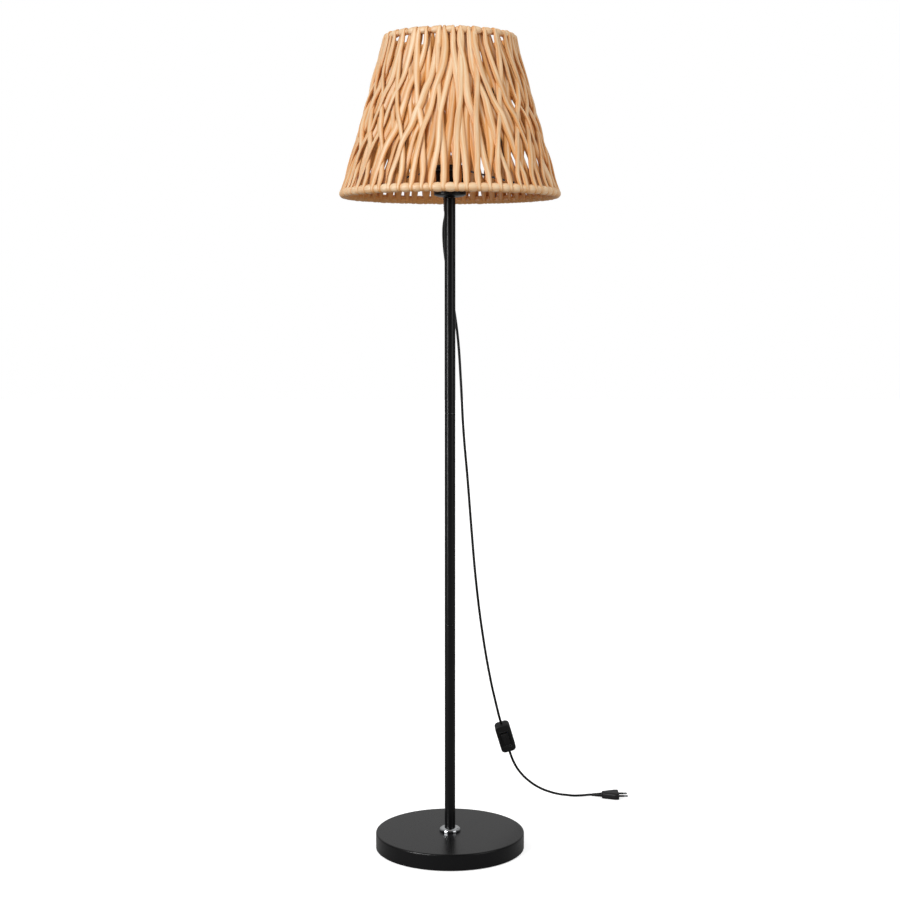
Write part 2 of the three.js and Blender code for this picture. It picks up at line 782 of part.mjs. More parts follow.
function weaveSkin() {
  const points = [];
  const triangles = [];
  const keep = (point) => points.push(point) - 1;
  const wrap = (foot) => (foot + strandFeet) % strandFeet;
  const quad = ([a, b, c, d]) => triangles.push(a, b, c, a, c, d);
  const band = (from, to) => from.forEach((corner, i) => {
    const next = (i + 1) % from.length;
    quad([corner, from[next], to[next], to[i]]);
  });

  const rims = [0, 1].map((end) => Array.from({ length: strandFeet }, (_, foot) => (
    rimSectionShares.map((shares) => keep(rimPoint((foot - 1 / 2) * footPitch, end, shares)))
  )));
  const flatLoop = (end, foot, flat) => {
    const here = rims[end][foot];
    const beyond = rims[end][wrap(foot + 1)];
    const next = (flat + 1) % rimSectionShares.length;
    return [here[flat], here[next], beyond[next], beyond[flat]];
  };
  const planeOf = (loop) => {
    const [a, b, c] = loop.map((i) => points[i]);
    return new THREE.Plane().setFromCoplanarPoints(a, b, c);
  };

  for (let foot = 0; foot < strandFeet; foot += 1) {
    for (let flat = strandLayers.length; flat < rimSectionShares.length; flat += 1) {
      quad(flatLoop(0, foot, flat));
      quad(flatLoop(1, foot, flat).reverse());
    }
    for (const layer of strandLayers) {
      const bottom = flatLoop(0, foot, layer.flat);
      const top = flatLoop(1, wrap(foot + layer.shiftFeet), layer.flat);
      const corners = strandLoops(foot, layer, [planeOf(bottom), planeOf(top)]);
      const loops = [bottom, ...corners.map((loop) => loop.map(keep)), top];
      loops.slice(1).forEach((loop, i) => band(loops[i], loop));
    }
  }
  const geometry = new THREE.BufferGeometry().setFromPoints(points);
  geometry.setIndex(triangles);
  return solidOf(geometry);
}

// Each rim is hollow round its wire ring, and open where the arms and struts come out.
function makeWeave() {
  const tunnelRadius = ringWireRadius + fitGap;
  const hollows = [
    hoop(shadeBottomRadius, shadeBottomZ, tunnelRadius, wireSides),
    hoop(shadeTopRadius, shadeTopZ, tunnelRadius, wireSides),
    ...evenAngles(armCount, armFirstAngle).map((angle) => armBar(angle, armRadius + fitGap)),
    ...evenAngles(strutCount, strutFirstAngle).map((angle) => strutBar(angle, strutRadius + fitGap)),
  ];
  return piece('shade_weave', weaveSkin().subtract(union(hollows)), rattan);
}

// Cord: a hanging stretch from the gland to the switch and a second one down to the plug.
// Each route is a list of points in millimetres, chosen by hand.

const upperRoute = [
  [-8.5, 17.6, 1194],
  [-8.5, 17.6, 1187],
  [-11.2, 18.4, 1171],
  [-12.1, 19.6, 1156],
  [-11.7, 21, 1140],
  [-9.8, 23.3, 1118],
  [-5.4, 26.4, 1088],
  [1.4, 30.2, 1050],
  [8.4, 34.4, 1008],
  [15, 39.2, 957],
  [20.2, 45.2, 882],
  [25.3, 51.2, 787],
  [33.5, 60.6, 691],
  [41, 68.9, 595],
  [49.6, 78.8, 497],
  [61.8, 92.7, 397],
  [79, 112.4, 295],
  [90.6, 125.6, 242],
  [97.9, 134, 211.6],
  [100.5, 137, 202.5],
];
const lowerRoute = [
  [117.2, 155.9, 144.6],
  [119.8, 158.9, 135.3],
  [127.6, 167.8, 114.4],
  [139.4, 181.4, 92.4],
  [160.6, 205.7, 65.4],
  [182.2, 230.4, 45],
  [204.1, 255.4, 29.2],
  [226.2, 281, 16.4],
  [243.5, 300.5, 8.6],
  [256, 310, 4.6],
  [267, 313.6, 3.6],
  [277.5, 312.8, 4.4],
  [284.5, 310.4, 5.9],
  [290, 308.7, 6.8],
  [295, 308.6, 6.85],
];
const vectorOf = ([x, y, z]) => new THREE.Vector3(x, y, z);

function makeCords() {
  const upper = tubeAlong(upperRoute.map(vectorOf), cordRadius, cordSides, upperCordSteps);
  const lower = tubeAlong(lowerRoute.map(vectorOf), cordRadius, cordSides, lowerCordSteps);
  return [
    piece('cord_upper', upper, cordSheath),
    piece('cord_lower', lower, cordSheath),
  ];
}

// Switch, made flat in its own frame: X along the cord, Y across, Z out of the rocker's face.

function makeSwitch() {
  const face = switchThickness / 2;
  const half = fitGap / 2;
  const outline = roundedRectangle(switchLength, switchWidth, switchCornerRadius);
  const pocketRadius = switchCornerRadius - switchWall;
  const pocketLength = switchLength - 2 * switchWall;
  const pocketWidth = switchWidth - 2 * switchWall;
  const pocket = roundedRectangle(pocketLength, pocketWidth, pocketRadius);
  const body = prism(outline, -face, face, switchBevel);
  const reach = switchLength + overrun;
  const backHalf = box(reach, reach, -face - overrun, -half);
  const frontHalf = box(reach, reach, half, face + overrun);

  const screwX = switchLength / 2 - screwInset;
  const screwY = switchWidth / 2 - screwInset;
  const bossPlaces = [[screwX, screwY], [-screwX, -screwY]];
  const atBosses = (make) => bossPlaces.map(([x, y]) => make().translate([x, y, 0]));
  const floor = -face + switchWall;
  const roof = face - switchWall;
  const backPocket = prism(pocket, floor, half);
  const frontPocket = prism(pocket, -half, roof);
  const screwHeadTop = -face + screwHeadHeight + fitGap;
  const headRadius = screwHeadRadius + fitGap;
  const counterbores = atBosses(() => disc(headRadius, -face - overrun, screwHeadTop, smallSides));
  const throughs = atBosses(() => disc(screwRadius + fitGap, -face, roof - half, smallSides));
  const backBosses = atBosses(() => disc(screwBossRadius, floor - half, -half, smallSides));
  const frontBosses = atBosses(() => disc(screwBossRadius, half, roof + half, smallSides));
  const back = body.intersect(backHalf)
    .subtract(backPocket)
    .add(union(backBosses))
    .subtract(union([...counterbores, ...throughs]));

  const windowLength = rockerLength + 2 * rockerPlay;
  const windowWidth = rockerWidth + 2 * fitGap;
  const opening = box(windowLength, windowWidth, half, face + overrun);
  const pinZ = face - pinDepth;
  const earCentre = windowWidth / 2 + earThickness / 2;
  const ear = (side) => box(earLength, earThickness, pinZ - earDrop, roof + half)
    .translate([0, side * earCentre, 0]);
  const pinReach = windowWidth / 2 + earThickness;
  const across = (radius, length) => disc(radius, -length, length, smallSides)
    .rotate([90, 0, 0])
    .translate([0, 0, pinZ]);
  const front = body.intersect(frontHalf)
    .subtract(frontPocket)
    .add(union([...frontBosses, ear(1), ear(-1)]))
    .subtract(opening)
    .subtract(union(throughs))
    .subtract(across(pinRadius + fitGap, pinReach + overrun));

  // The rocker is drawn from the side, level and centred on its pin, then tipped to its rest position.
  const end = rockerLength / 2;
  const crest = pinDepth + rockerProud;
  const rockerShares = [-1, -0.5, 0, 0.5, 1];
  const dished = rockerShares.map((share) => [share * end, crest - rockerDish * (1 - share * share)]);
  const keel = crest - rockerDepth;
  const hub = pinRadius * 2;
  const rockerOutline = polygonShape([
    [-end, keel],
    ...dished,
    [end, keel],
    [hub, -earDrop],
    [-hub, -earDrop],
  ]);
  const rockerBlock = prism(rockerOutline, -rockerWidth / 2, rockerWidth / 2).rotate([90, 0, 0]);
  const rockerBore = disc(pinRadius + fitGap, -rockerWidth, rockerWidth, smallSides).rotate([90, 0, 0]);
  const rocker = piece('switch_rocker', rockerBlock.subtract(rockerBore), blackPlastic);
  rocker.position.set(0, 0, pinZ);
  rocker.rotation.y = rockerTilt * degree;

  const leaf = box(springContactLength, springContactWidth, -springContactThickness, 0);
  const stem = box(springContactStem, springContactWidth, -springContactThickness, springContactStem);
  const bridge = piece('moving_contact', leaf.add(stem), brass);
  bridge.position.copy(rocker.position);
  bridge.rotation.copy(rocker.rotation);
  bridge.geometry.translate(0, 0, -earDrop - springContactStem - fitGap);

  // The fixed contacts end just below the leaf where a tipped rocker carries its end.
  const leafDepth = earDrop + springContactStem + fitGap + springContactThickness;
  const tip = rockerTilt * degree;
  const meetZ = pinZ - leafDepth * Math.cos(tip) - (springContactLength / 2) * Math.sin(tip) - fitGap;
  const contactBlock = (side) => box(fixedContactLength, fixedContactWidth, floor + fitGap, meetZ)
    .translate([side * fixedContactSpread / 2, 0, 0]);
  const clampX = switchLength / 2 - switchWall - clampBarInset;
  const clampBar = (side) => box(clampBarLength, clampBarWidth, floor + fitGap, floor + clampBarHeight)
    .translate([side * clampX, 0, 0]);
  const coreY = fixedContactWidth / 2 + fitGap + coreRadius * 2;
  const coreZ = floor + fitGap + coreRadius;
  const coreEnd = clampX - clampBarLength / 2 - fitGap;
  const coreFrom = new THREE.Vector3(-coreEnd, coreY, coreZ);
  const coreTo = new THREE.Vector3(coreEnd, coreY, coreZ);
  const core = rod(coreFrom, coreTo, coreRadius, wireSides);

  const screw = turned([
    [0, -face + fitGap],
    [screwHeadRadius, -face + fitGap],
    [screwHeadRadius, screwHeadTop - fitGap],
    [screwRadius, screwHeadTop - fitGap],
    [screwRadius, -face + screwLength],
    [0, -face + screwLength],
  ], smallSides);
  const screws = bossPlaces.map(([x, y], i) => (
    piece(`switch_screw_${i + 1}`, screw.translate([x, y, 0]), zincSteel)
  ));

  const group = new THREE.Group();
  group.add(
    piece('switch_back_shell', back, blackPlastic),
    piece('switch_front_shell', front, blackPlastic),
    rocker,
    bridge,
    piece('rocker_pin', across(pinRadius, pinReach), zincSteel),
    piece('fixed_contact_in', contactBlock(-1), brass),
    piece('fixed_contact_out', contactBlock(1), brass),
    piece('cord_clamp_in', clampBar(-1), blackPlastic),
    piece('cord_clamp_out', clampBar(1), blackPlastic),
    piece('through_core', core, blueCore),
    ...screws,
  );

  // It hangs between the two stretches of cord, with its face turned toward the front.
  const above = vectorOf(upperRoute.at(-1));
  const below = vectorOf(lowerRoute[0]);
  const along = below.clone().sub(above).normalize();
  const facing = new THREE.Vector3(0, -1, 0);
  facing.addScaledVector(along, -facing.dot(along)).normalize();
  const sideways = facing.clone().cross(along);
  group.quaternion.setFromRotationMatrix(new THREE.Matrix4().makeBasis(along, sideways, facing));
  group.position.copy(above).lerp(below, 0.5);
  return group;
}

// Plug: a flat two-pin plug lying on the floor, made with its cord end at the origin and its pins toward +X.

function makePlug() {
  const middle = plugThickness / 2;
  const back = reliefLength;
  const frontX = back + plugLength;
  const shoulderX = frontX - plugShoulder;
  const outline = polygonShape([
    [back, -plugTailWidth / 2],
    [shoulderX, -plugFaceWidth / 2],
    [frontX, -plugFaceWidth / 2],
    [frontX, plugFaceWidth / 2],
    [shoulderX, plugFaceWidth / 2],
    [back, plugTailWidth / 2],
  ]);
  const body = prism(outline, 0, plugThickness, plugBevel);
  const relief = turned([
    [0, 0],
    [reliefTipRadius, 0],
    [reliefRootRadius, back + plugBevel],
    [0, back + plugBevel],
  ], smallSides).rotate([0, 90, 0]).translate([0, 0, middle]);
  const pin = (side) => disc(plugPinRadius, frontX + fitGap, frontX + plugPinLength, smallSides)
    .rotate([0, 90, 0])
    .translate([0, side * plugPinSpacing / 2, middle]);

  const group = new THREE.Group();
  group.add(
    piece('plug_body', body.add(relief), blackPlastic),
    piece('plug_pin_left', pin(1), chrome),
    piece('plug_pin_right', pin(-1), chrome),
  );
  const end = vectorOf(lowerRoute.at(-1));
  group.position.set(end.x + fitGap, end.y, 0);
  return group;
}

const lamp = new THREE.Group();
lamp.name = 'rattan_floor_lamp';
lamp.add(
  ...makeBase(),
  ...makePole(),
  ...makeCup(),
  ...makeHolder(),
  makeClampRing(),
  ...makeFrame(),
  makeWeave(),
  ...makeCords(),
  makeSwitch(),
  makePlug(),
);

export default lamp;
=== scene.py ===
"""Floor lamp with a wound paper-rattan shade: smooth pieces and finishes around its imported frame.

Everything is in metres, +Z up. The origin is on the lamp's axis at the floor, +X to the right and +Y away
from the camera.
"""
import json
import math

import bpy
import numpy as np
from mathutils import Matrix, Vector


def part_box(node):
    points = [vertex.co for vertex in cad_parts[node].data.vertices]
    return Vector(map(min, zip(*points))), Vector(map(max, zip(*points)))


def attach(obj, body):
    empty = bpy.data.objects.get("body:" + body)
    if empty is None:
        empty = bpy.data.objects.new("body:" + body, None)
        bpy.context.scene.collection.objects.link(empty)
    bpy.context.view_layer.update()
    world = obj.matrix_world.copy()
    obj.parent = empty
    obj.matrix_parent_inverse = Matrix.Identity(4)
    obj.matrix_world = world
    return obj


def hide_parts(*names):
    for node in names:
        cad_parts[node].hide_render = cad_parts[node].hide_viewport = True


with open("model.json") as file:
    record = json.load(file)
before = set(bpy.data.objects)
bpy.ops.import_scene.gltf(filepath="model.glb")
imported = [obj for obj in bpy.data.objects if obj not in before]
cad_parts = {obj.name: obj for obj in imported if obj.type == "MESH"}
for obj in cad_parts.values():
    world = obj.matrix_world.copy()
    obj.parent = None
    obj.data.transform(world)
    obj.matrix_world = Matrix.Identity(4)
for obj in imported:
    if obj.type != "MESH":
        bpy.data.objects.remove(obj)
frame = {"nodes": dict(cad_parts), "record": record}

for leftover in ("Cube", "Light", "Camera"):
    if leftover in bpy.data.objects and leftover not in frame["nodes"]:
        bpy.data.objects.remove(bpy.data.objects[leftover])
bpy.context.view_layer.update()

bl_info = {
    "name": "Rattan floor lamp",
    "version": (1, 0, 0),
    "blender": (4, 5, 0),
    "location": "3D View > Sidebar > Lamp",
    "description": "Builds the pieces and finishes of a floor lamp with a wound shade",
    "category": "Add Mesh",
}

MM = 0.001
DEGREE = math.pi / 180

# Camera, fitted to the photograph
CAMERA_PLACE = (0, -3.082, 1.033)
CAMERA_PITCH = 5.17 * DEGREE
CAMERA_LENS = 66.76
SENSOR_WIDTH = 36

# Stage
LAMP_MIDDLE = (0, 0, 0.9)
FLOOR_REACH = 14
FLOOR_HEIGHTS = (-1 * MM, -3 * MM)
FLOOR_GLOW = 0.6  # added to the floor's own light, for the eye only
FLOOR_MIRRORED = 0.1  # share of the floor's white that reflected rays see
WORLD_RISE = 1.6  # weight of a ray's height against its distance behind the lamp
WORLD_LIMITS = (0.2, 2.5)  # sums of the two at which reflections see the least light and all of it
WORLD_LEAST = 0.06  # and that least light
WORLD_LIGHT = 0.5  # strength with which the world lights the lamp

# Edges that turn by more than these angles are drawn sharp
METAL_CREASE = 35 * DEGREE
PLASTIC_CREASE = 28 * DEGREE
PAPER_CREASE = 70 * DEGREE

# Base and pole
COVER_WALL = 1.2 * MM
COVER_FOOT = 0.8 * MM  # gap between the floor and the cover's edge
COVER_EDGE = 3.2 * MM  # reach of the rounding at the top edge
STUD_BORE = 5.2 * MM
PAD_BORE = 18 * MM
COLLAR_BORE = 10.3 * MM
COLLAR_RIM = 2.2 * MM  # height of the collar's straight rim
COLLAR_CROWN = 12.4 * MM  # radius where its dome ends
POLE_WALL = 1.2 * MM

# Cup, lamp holder and clamp ring
CUP_WALL = 1 * MM
CUP_LIP = 0.4 * MM
DOME_RISE = 5.5 * MM
GLAND_BORE = 1 * MM
GLAND_TAIL = 25 * MM  # length below the flange
GLAND_TAIL_RADII = (3.9 * MM, 3.1 * MM)  # where the tail starts and at its tip
GLAND_RIBS = 6
GLAND_RIB_DEPTH = 0.45 * MM
HOLDER_RADIUS = 19.5 * MM
HOLDER_INNER = 17.3 * MM
HOLDER_MOUTH = 14.4 * MM
HOLDER_LIP = 3 * MM
SKIRT_THREAD_PITCH = 2.5 * MM
SKIRT_THREAD_DEPTH = 0.35 * MM
SHELL_SHEET = 0.5 * MM
SHELL_THREAD_PITCH = 3.62 * MM
SHELL_THREAD_DEPTH = 0.55 * MM
CLAMP_BORE = 20.3 * MM
CLAMP_LOBES = 18
CLAMP_DIP = 0.9 * MM
CLAMP_GRIP = 1.3 * MM  # depth of the outer wall that the dips reach

# Shade frame: the two wire rings carry the wound rims
RING_WIRE_RADIUS = 3 * MM
BOTTOM_RING_Z = 1224.3 * MM
TOP_RING_Z = 1501.8 * MM
PLATE_BORE = 20.6 * MM
ARM_RADIUS = 1.8 * MM
ARM_DEGREES = (90, 210, 330)
STRUT_RADIUS = 1.1 * MM
STRUT_INSET = 4.4 * MM  # inward from the cone through the two rings
STRUT_DEGREES = (2.4, 62.4, 122.4, 182.4, 242.4, 302.4)

# Strand round the rims; a pair is for the bottom and the top rim
WEAVE_SEED = 11
STRAND_SIDES = 12
WRAP_RADII = (5.9 * MM, 5.1 * MM)  # from a ring's centre to the strand's
FOOT_TURN = 0.4 * DEGREE  # half the strand's step aside as it goes under the bottom rim
FOOT_SPREAD = 0.06  # chance part of a foot's place, as a share of the spacing, like the next three
FOOT_PAIRING = 0.04  # how far every second foot moves toward its neighbour at the bottom
HEAD_PAIRING = 0.27  # and at the top, where two strands lie side by side
PAIRING_SPREAD = 0.08  # chance part of either pairing
HEAD_STEP = 0.6 * MM  # at the top, one way of leaning lies this much farther out than the middle
RIM_LUMP_RADII = (8.2 * MM, 6.8 * MM)  # of the padding between two feet
RIM_PINCH = 0.4  # share of that radius that is left at a foot
RIM_FULLNESS = 0.4  # power that makes the lumps long and flat
RIM_SIDES = 16
LUMP_STEPS = 14  # sections of a rim for each foot
LUMP_LIMITS = (0.45, 0.55, 1.04)  # fixed share of a lump's swell, share by its gap, and the most

# Strand from rim to rim; a pair of limits is the least and the most
LEAN_SPREAD = 0.03  # chance part of a run's lean
LEAN_EASES = (0.2, 0.45)  # share of its lean that a run loses near its ends
STRAIGHT_SHARE = 0.085  # part of a run that stands straight at either end
MEETING_SLOWDOWN = (0.1, 0.45)  # share of its lean that a strand loses where it meets another
GATHER = 0.45  # share of the way to the nearest head that a run's top is drawn
CALM_ANGLE = -86 * DEGREE  # round this angle, at the front, the strands lean less
CALM_WIDTH = 20 * DEGREE
CALM_SHARE = 0.72  # share of the lean that is lost there
OUTER_LIFTS = (2.2 * MM, 1.8 * MM)  # the outer layer off the cone: its middle, and how far it weaves
INNER_LIFTS = (-3.6 * MM, 1.3 * MM)
LIFT_NOISE = 0.6 * MM  # chance parts: off the cone, sideways, and turning about the strand's own line
SWAY_NOISE = 1.6 * MM
ROLL_NOISE = 15 * DEGREE
WIDTH_SPREAD = 0.07  # chance part from one turn of the strand to the next, then along it
WIDTH_NOISE = 0.11
THICKNESS_NOISE = 0.1
INNER_WIDENING = 1.12
NARROWING = (0.1, 0.1)  # share of its width that a strand loses near the bottom, and more near the top
SQUEEZE_SHARE = 0.055  # part of a run in which the strand is squeezed over a rim
SQUEEZE_DEPTH = 0.32  # share of its width that it loses there
THINNING = 0.28  # share of its thickness that it loses at the rims

# Tone of the paper, mostly painted light: the level at a strand's edge; a painted highlight as a point faces
# outward and painted shade as it faces inward; and for the inner layer, painted shade that darkens it and a
# stronger change by facing. The spread is a random tone for each strand.
EDGE_TONE = 0.2
OUTWARD_PAINTED_LIGHT = 0.66
INNER_LAYER_PAINTED_LIGHT = (-0.42, 0.3)
TONE_SPREAD = 0.08
# The rim's tone: its level, a random tone for each lump, a painted highlight on its outer side with painted
# shade on its inner side, and painted light on each swell with painted shade in the pinches between lumps
RIM_TONE = -0.12
RIM_TONE_SPREAD = 0.06
RIM_OUTWARD_PAINTED_LIGHT = 0.36
RIM_SWELL_PAINTED_LIGHT = 0.52

# The cord's route, point by point from the gland to the switch and from the switch to the plug
UPPER_ROUTE = [
    (-0.0085, 0.0176, 1.194), (-0.0085, 0.0176, 1.187), (-0.0112, 0.0184, 1.171), (-0.0121, 0.0196, 1.156),
    (-0.0117, 0.021, 1.14), (-0.0098, 0.0233, 1.118), (-0.0054, 0.0264, 1.088), (0.0014, 0.0302, 1.05),
    (0.0084, 0.0344, 1.008), (0.015, 0.0392, 0.957), (0.0202, 0.0452, 0.882), (0.0253, 0.0512, 0.787),
    (0.0335, 0.0606, 0.691), (0.041, 0.0689, 0.595), (0.0496, 0.0788, 0.497), (0.0618, 0.0927, 0.397),
    (0.079, 0.1124, 0.295), (0.0906, 0.1256, 0.242), (0.0979, 0.134, 0.2116), (0.1005, 0.137, 0.2025),
]
LOWER_ROUTE = [
    (0.1172, 0.1559, 0.1446), (0.1198, 0.1589, 0.1353), (0.1276, 0.1678, 0.1144), (0.1394, 0.1814, 0.0924),
    (0.1606, 0.2057, 0.0654), (0.1822, 0.2304, 0.045), (0.2041, 0.2554, 0.0292), (0.2262, 0.281, 0.0164),
    (0.2435, 0.3005, 0.0086), (0.256, 0.31, 0.0046), (0.267, 0.3136, 0.0036), (0.2775, 0.3128, 0.0044),
    (0.2845, 0.3104, 0.0059), (0.29, 0.3087, 0.0068), (0.295, 0.3086, 0.00685),
]

# In-line switch, in its own frame: X along the cord, Y across, Z out of the face
SWITCH_LENGTH = 62 * MM
SWITCH_WIDTH = 29.5 * MM
SWITCH_FACE = 10 * MM
SWITCH_CORNER = 8 * MM
SWITCH_BEVEL = 2.5 * MM
SWITCH_WALL = 2.4 * MM
SWITCH_SEAM = 0.15 * MM
SWITCH_SCREW = (24.7 * MM, 8.45 * MM)
SCREW_SEAT = -7.9 * MM  # height of the seats' floor and of the heads' underside
SCREW_SEAT_RADIUS = 2.9 * MM
SCREW_HEAD_RADIUS = 2.6 * MM
SCREW_SHANK_RADIUS = 1.4 * MM
SCREW_RIM = -8.7 * MM  # height where the head's dome starts
SCREW_DOME = 0.9 * MM
SCREW_TIP = 1 * MM
BACK_CORE = (20 * MM, 8 * MM, 3 * MM)  # length, width and corner at which fans close the back's faces
WINDOW = (29.9 * MM, 14.2 * MM, 1.5 * MM)  # length, width and corner
BORDER = (WINDOW[0] + 8 * MM, WINDOW[1] + 6.4 * MM, 4.6 * MM)  # likewise, of the groove round it
BORDER_GROOVE = 0.7 * MM
BORDER_LIP = 0.5 * MM
ROCKER_LENGTH = 27.4 * MM
ROCKER_WIDTH = 13.6 * MM
ROCKER_CORNER = 1.6 * MM
ROCKER_EDGE = 0.9 * MM
ROCKER_TILT = 8 * DEGREE
ROCKER_PIN_DEPTH = 4.6 * MM
ROCKER_PROUD = 1.8 * MM
ROCKER_DISH = 1.4 * MM
ROCKER_DEPTH = 5 * MM

# Plug, lying on the floor with its pins toward +X
PLUG_HEIGHT = 6.85 * MM
PLUG_RELIEF = 20 * MM
PLUG_RELIEF_RADII = (3.1 * MM, 4.9 * MM)  # at the cord and at the body
PLUG_RIBS = 6
PLUG_RIB_DEPTH = 0.5 * MM
PLUG_TAIL_WIDTH = 15 * MM
PLUG_SHOULDER = 9 * MM
PLUG_CORNER = 4.5 * MM
PLUG_PIN_RADIUS = 2 * MM
PLUG_PIN_SLEEVE = 10 * MM


def linear(code):
    """Linear RGBA of an sRGB hex colour.

    Each channel c becomes ((c + 0.055) / 1.055) to the power 2.4, or c / 12.92 where it is very dark.
    """
    channels = [int(code[i:i + 2], 16) / 255 for i in (1, 3, 5)]
    return (*[c / 12.92 if c <= 0.04045 else ((c + 0.055) / 1.055) ** 2.4 for c in channels], 1)


def add_node(tree, kind, inputs=None, **settings):
    """Adds a node, sets its own values and fills its inputs with numbers or links."""
    node = tree.nodes.new(kind)
    for name, value in settings.items():
        setattr(node, name, value)
    for name, value in (inputs or {}).items():
        if isinstance(value, bpy.types.NodeSocket):
            tree.links.new(value, node.inputs[name])
        else:
            node.inputs[name].default_value = value
    return node


class LampSizes(bpy.types.PropertyGroup):
    """Sizes that a user would change."""

    strand_feet: bpy.props.IntProperty(
        name="Strand feet", description="How many times the strand goes round each rim", default=62)
    strand_width: bpy.props.FloatProperty(
        name="Strand width", description="Width of the flattened strand", default=12 * MM, unit="LENGTH")
    strand_thickness: bpy.props.FloatProperty(
        name="Strand thickness", description="Thickness of the strand", default=5.4 * MM, unit="LENGTH")
    strand_lean: bpy.props.FloatProperty(
        name="Strand lean", description="Angle round the shade that a strand gains from rim to rim",
        default=23.2 * DEGREE, subtype="ANGLE")
    cord_diameter: bpy.props.FloatProperty(
        name="Cord diameter", description="Outer diameter of the round cord", default=4.8 * MM, unit="LENGTH")
    upper_cord: bpy.props.FloatProperty(
        name="Upper cord", description="Real length of cord from the gland to the switch",
        default=1.009, unit="LENGTH")
    lower_cord: bpy.props.FloatProperty(
        name="Lower cord", description="Real length of cord from the switch to the plug",
        default=0.301, unit="LENGTH")


class LampColours(bpy.types.PropertyGroup):
    """Colours that a user would change."""

    strand: bpy.props.FloatVectorProperty(
        name="Strand", description="Colour of the paper strand", subtype="COLOR", size=4,
        default=linear("#F2D9B5"))
    # Painted shade: the colour on the strand's back, its edges and the inner layer, standing for shade and
    # the warm light bounced inside the shade
    strand_painted_shade: bpy.props.FloatVectorProperty(
        name="Strand inside", description="Colour of the strand on the bulb's side", subtype="COLOR", size=4,
        default=linear("#DB974E"))
    coat: bpy.props.FloatVectorProperty(
        name="Powder coat", description="Colour of the coated steel", subtype="COLOR", size=4,
        default=linear("#0B0B0C"))
    plastic: bpy.props.FloatVectorProperty(
        name="Plastic", description="Colour of the moulded parts", subtype="COLOR", size=4,
        default=linear("#0F0F0F"))


# Meshes


def unit(vectors):
    """Vectors divided by their own lengths."""
    return vectors / np.linalg.norm(vectors, axis=-1, keepdims=True)


def loft(rings, looped=False):
    """Faces over rings of points with the shape (tubes, steps, sides, 3).

    Neighbouring rings are joined by four-sided faces. A looped tube joins its last ring to its first;
    otherwise both end rings are closed by a fan round their mean point. If the signed volume, a sixth of the
    sum of each triangle's triple product, is negative, every face is turned round.
    """
    rings = np.asarray(rings, float)
    tubes, steps, sides, _ = rings.shape
    index = np.arange(tubes * steps * sides).reshape(tubes, steps, sides)
    here = index if looped else index[:, :-1]
    ahead = np.roll(index, -1, axis=1) if looped else index[:, 1:]
    quads = np.stack([here, np.roll(here, -1, 2), np.roll(ahead, -1, 2), ahead], -1).reshape(-1, 4)
    points = rings.reshape(-1, 3)
    fans = np.zeros((0, 3), int)
    if not looped:
        centres = rings[:, [0, -1]].mean(axis=2).reshape(-1, 3)
        centre = (len(points) + np.arange(2 * tubes)).reshape(tubes, 2, 1)
        first, last = index[:, 0], index[:, -1]
        start = np.stack([np.roll(first, -1, 1), first, np.broadcast_to(centre[:, 0], first.shape)], -1)
        stop = np.stack([last, np.roll(last, -1, 1), np.broadcast_to(centre[:, 1], last.shape)], -1)
        fans = np.concatenate([start.reshape(-1, 3), stop.reshape(-1, 3)])
        points = np.concatenate([points, centres])
    split = np.concatenate([quads[:, :3], quads[:, [0, 2, 3]], fans])
    a, b, c = (points[split[:, i]] for i in range(3))
    if np.einsum("ij,ij->i", a, np.cross(b, c)).sum() < 0:
        quads, fans = quads[:, ::-1], fans[:, ::-1]
    return points, quads, fans


def join(skins):
    """Several skins of points, quads and triangles as one."""
    starts = np.cumsum([0] + [len(points) for points, _, _ in skins])
    return (
        np.concatenate([points for points, _, _ in skins]),
        np.concatenate([quads + start for (_, quads, _), start in zip(skins, starts)]),
        np.concatenate([fans + start for (_, _, fans), start in zip(skins, starts)]),
    )


def soften(corners, radii, steps=5, closed=True):
    """Rounds an outline: each corner becomes a parabola between two points on its sides.

    These lie at the corner's radius from it, or at 45% of the side where that is shorter. An open outline
    keeps its two end points. Points less than a thousandth of a millimetre apart become one.
    """
    corners = np.asarray(corners, float)
    before, after = np.roll(corners, 1, 0) - corners, np.roll(corners, -1, 0) - corners
    reach = np.broadcast_to(np.asarray(radii, float), len(corners)).copy()
    if not closed:
        reach[[0, -1]] = 0
    before_length = np.linalg.norm(before, axis=1)
    after_length = np.linalg.norm(after, axis=1)
    trim = np.minimum(reach, 0.45 * np.minimum(before_length, after_length))[:, None]
    start = corners + before / before_length[:, None] * trim
    stop = corners + after / after_length[:, None] * trim
    t = np.linspace(0, 1, steps)[None, :, None]
    curve = (1 - t) ** 2 * start[:, None] + 2 * t * (1 - t) * corners[:, None] + t ** 2 * stop[:, None]
    points = curve.reshape(-1, corners.shape[1])
    apart = np.linalg.norm(points - np.roll(points, 1, 0), axis=1) > 0.001 * MM
    return points[apart]


def hold_flats(outline, reach=1.5 * MM):
    """Adds a point near each end of an outline's long sides, so that a rounded edge doesn't shade its flats.

    A side is long when it is over four times the reach from its end to the added point.
    """
    side = np.roll(outline, -1, 0) - outline
    length = np.linalg.norm(side, axis=1, keepdims=True)
    step = side / length * reach
    points = np.stack([outline, outline + step, outline + side - step], axis=1)
    long_side = length[:, 0] > 4 * reach
    return points[np.column_stack([np.ones_like(long_side), long_side, long_side])]


def ring_section(bore, radius, low, high, rounding):
    """A flat ring's section: a rectangle from its bore to its outside, with its corners rounded."""
    return soften([(bore, low.z), (radius, low.z), (radius, high.z), (bore, high.z)], rounding)


def round_axis(radius, angle, height):
    """Points at a radius, an angle and a height round the vertical axis."""
    return np.stack([radius * np.cos(angle), radius * np.sin(angle), height + 0 * angle], -1)


def revolve(profile, sides, looped=True, centre=(0, 0)):
    """A body of revolution: each profile point (radius, height) goes once round a vertical axis."""
    angle = np.linspace(0, 2 * math.pi, sides, endpoint=False)
    radius, height = np.asarray(profile, float).T[:, :, None]
    ring = round_axis(radius, angle, height) + (*centre, 0)
    return loft(ring[None], looped)


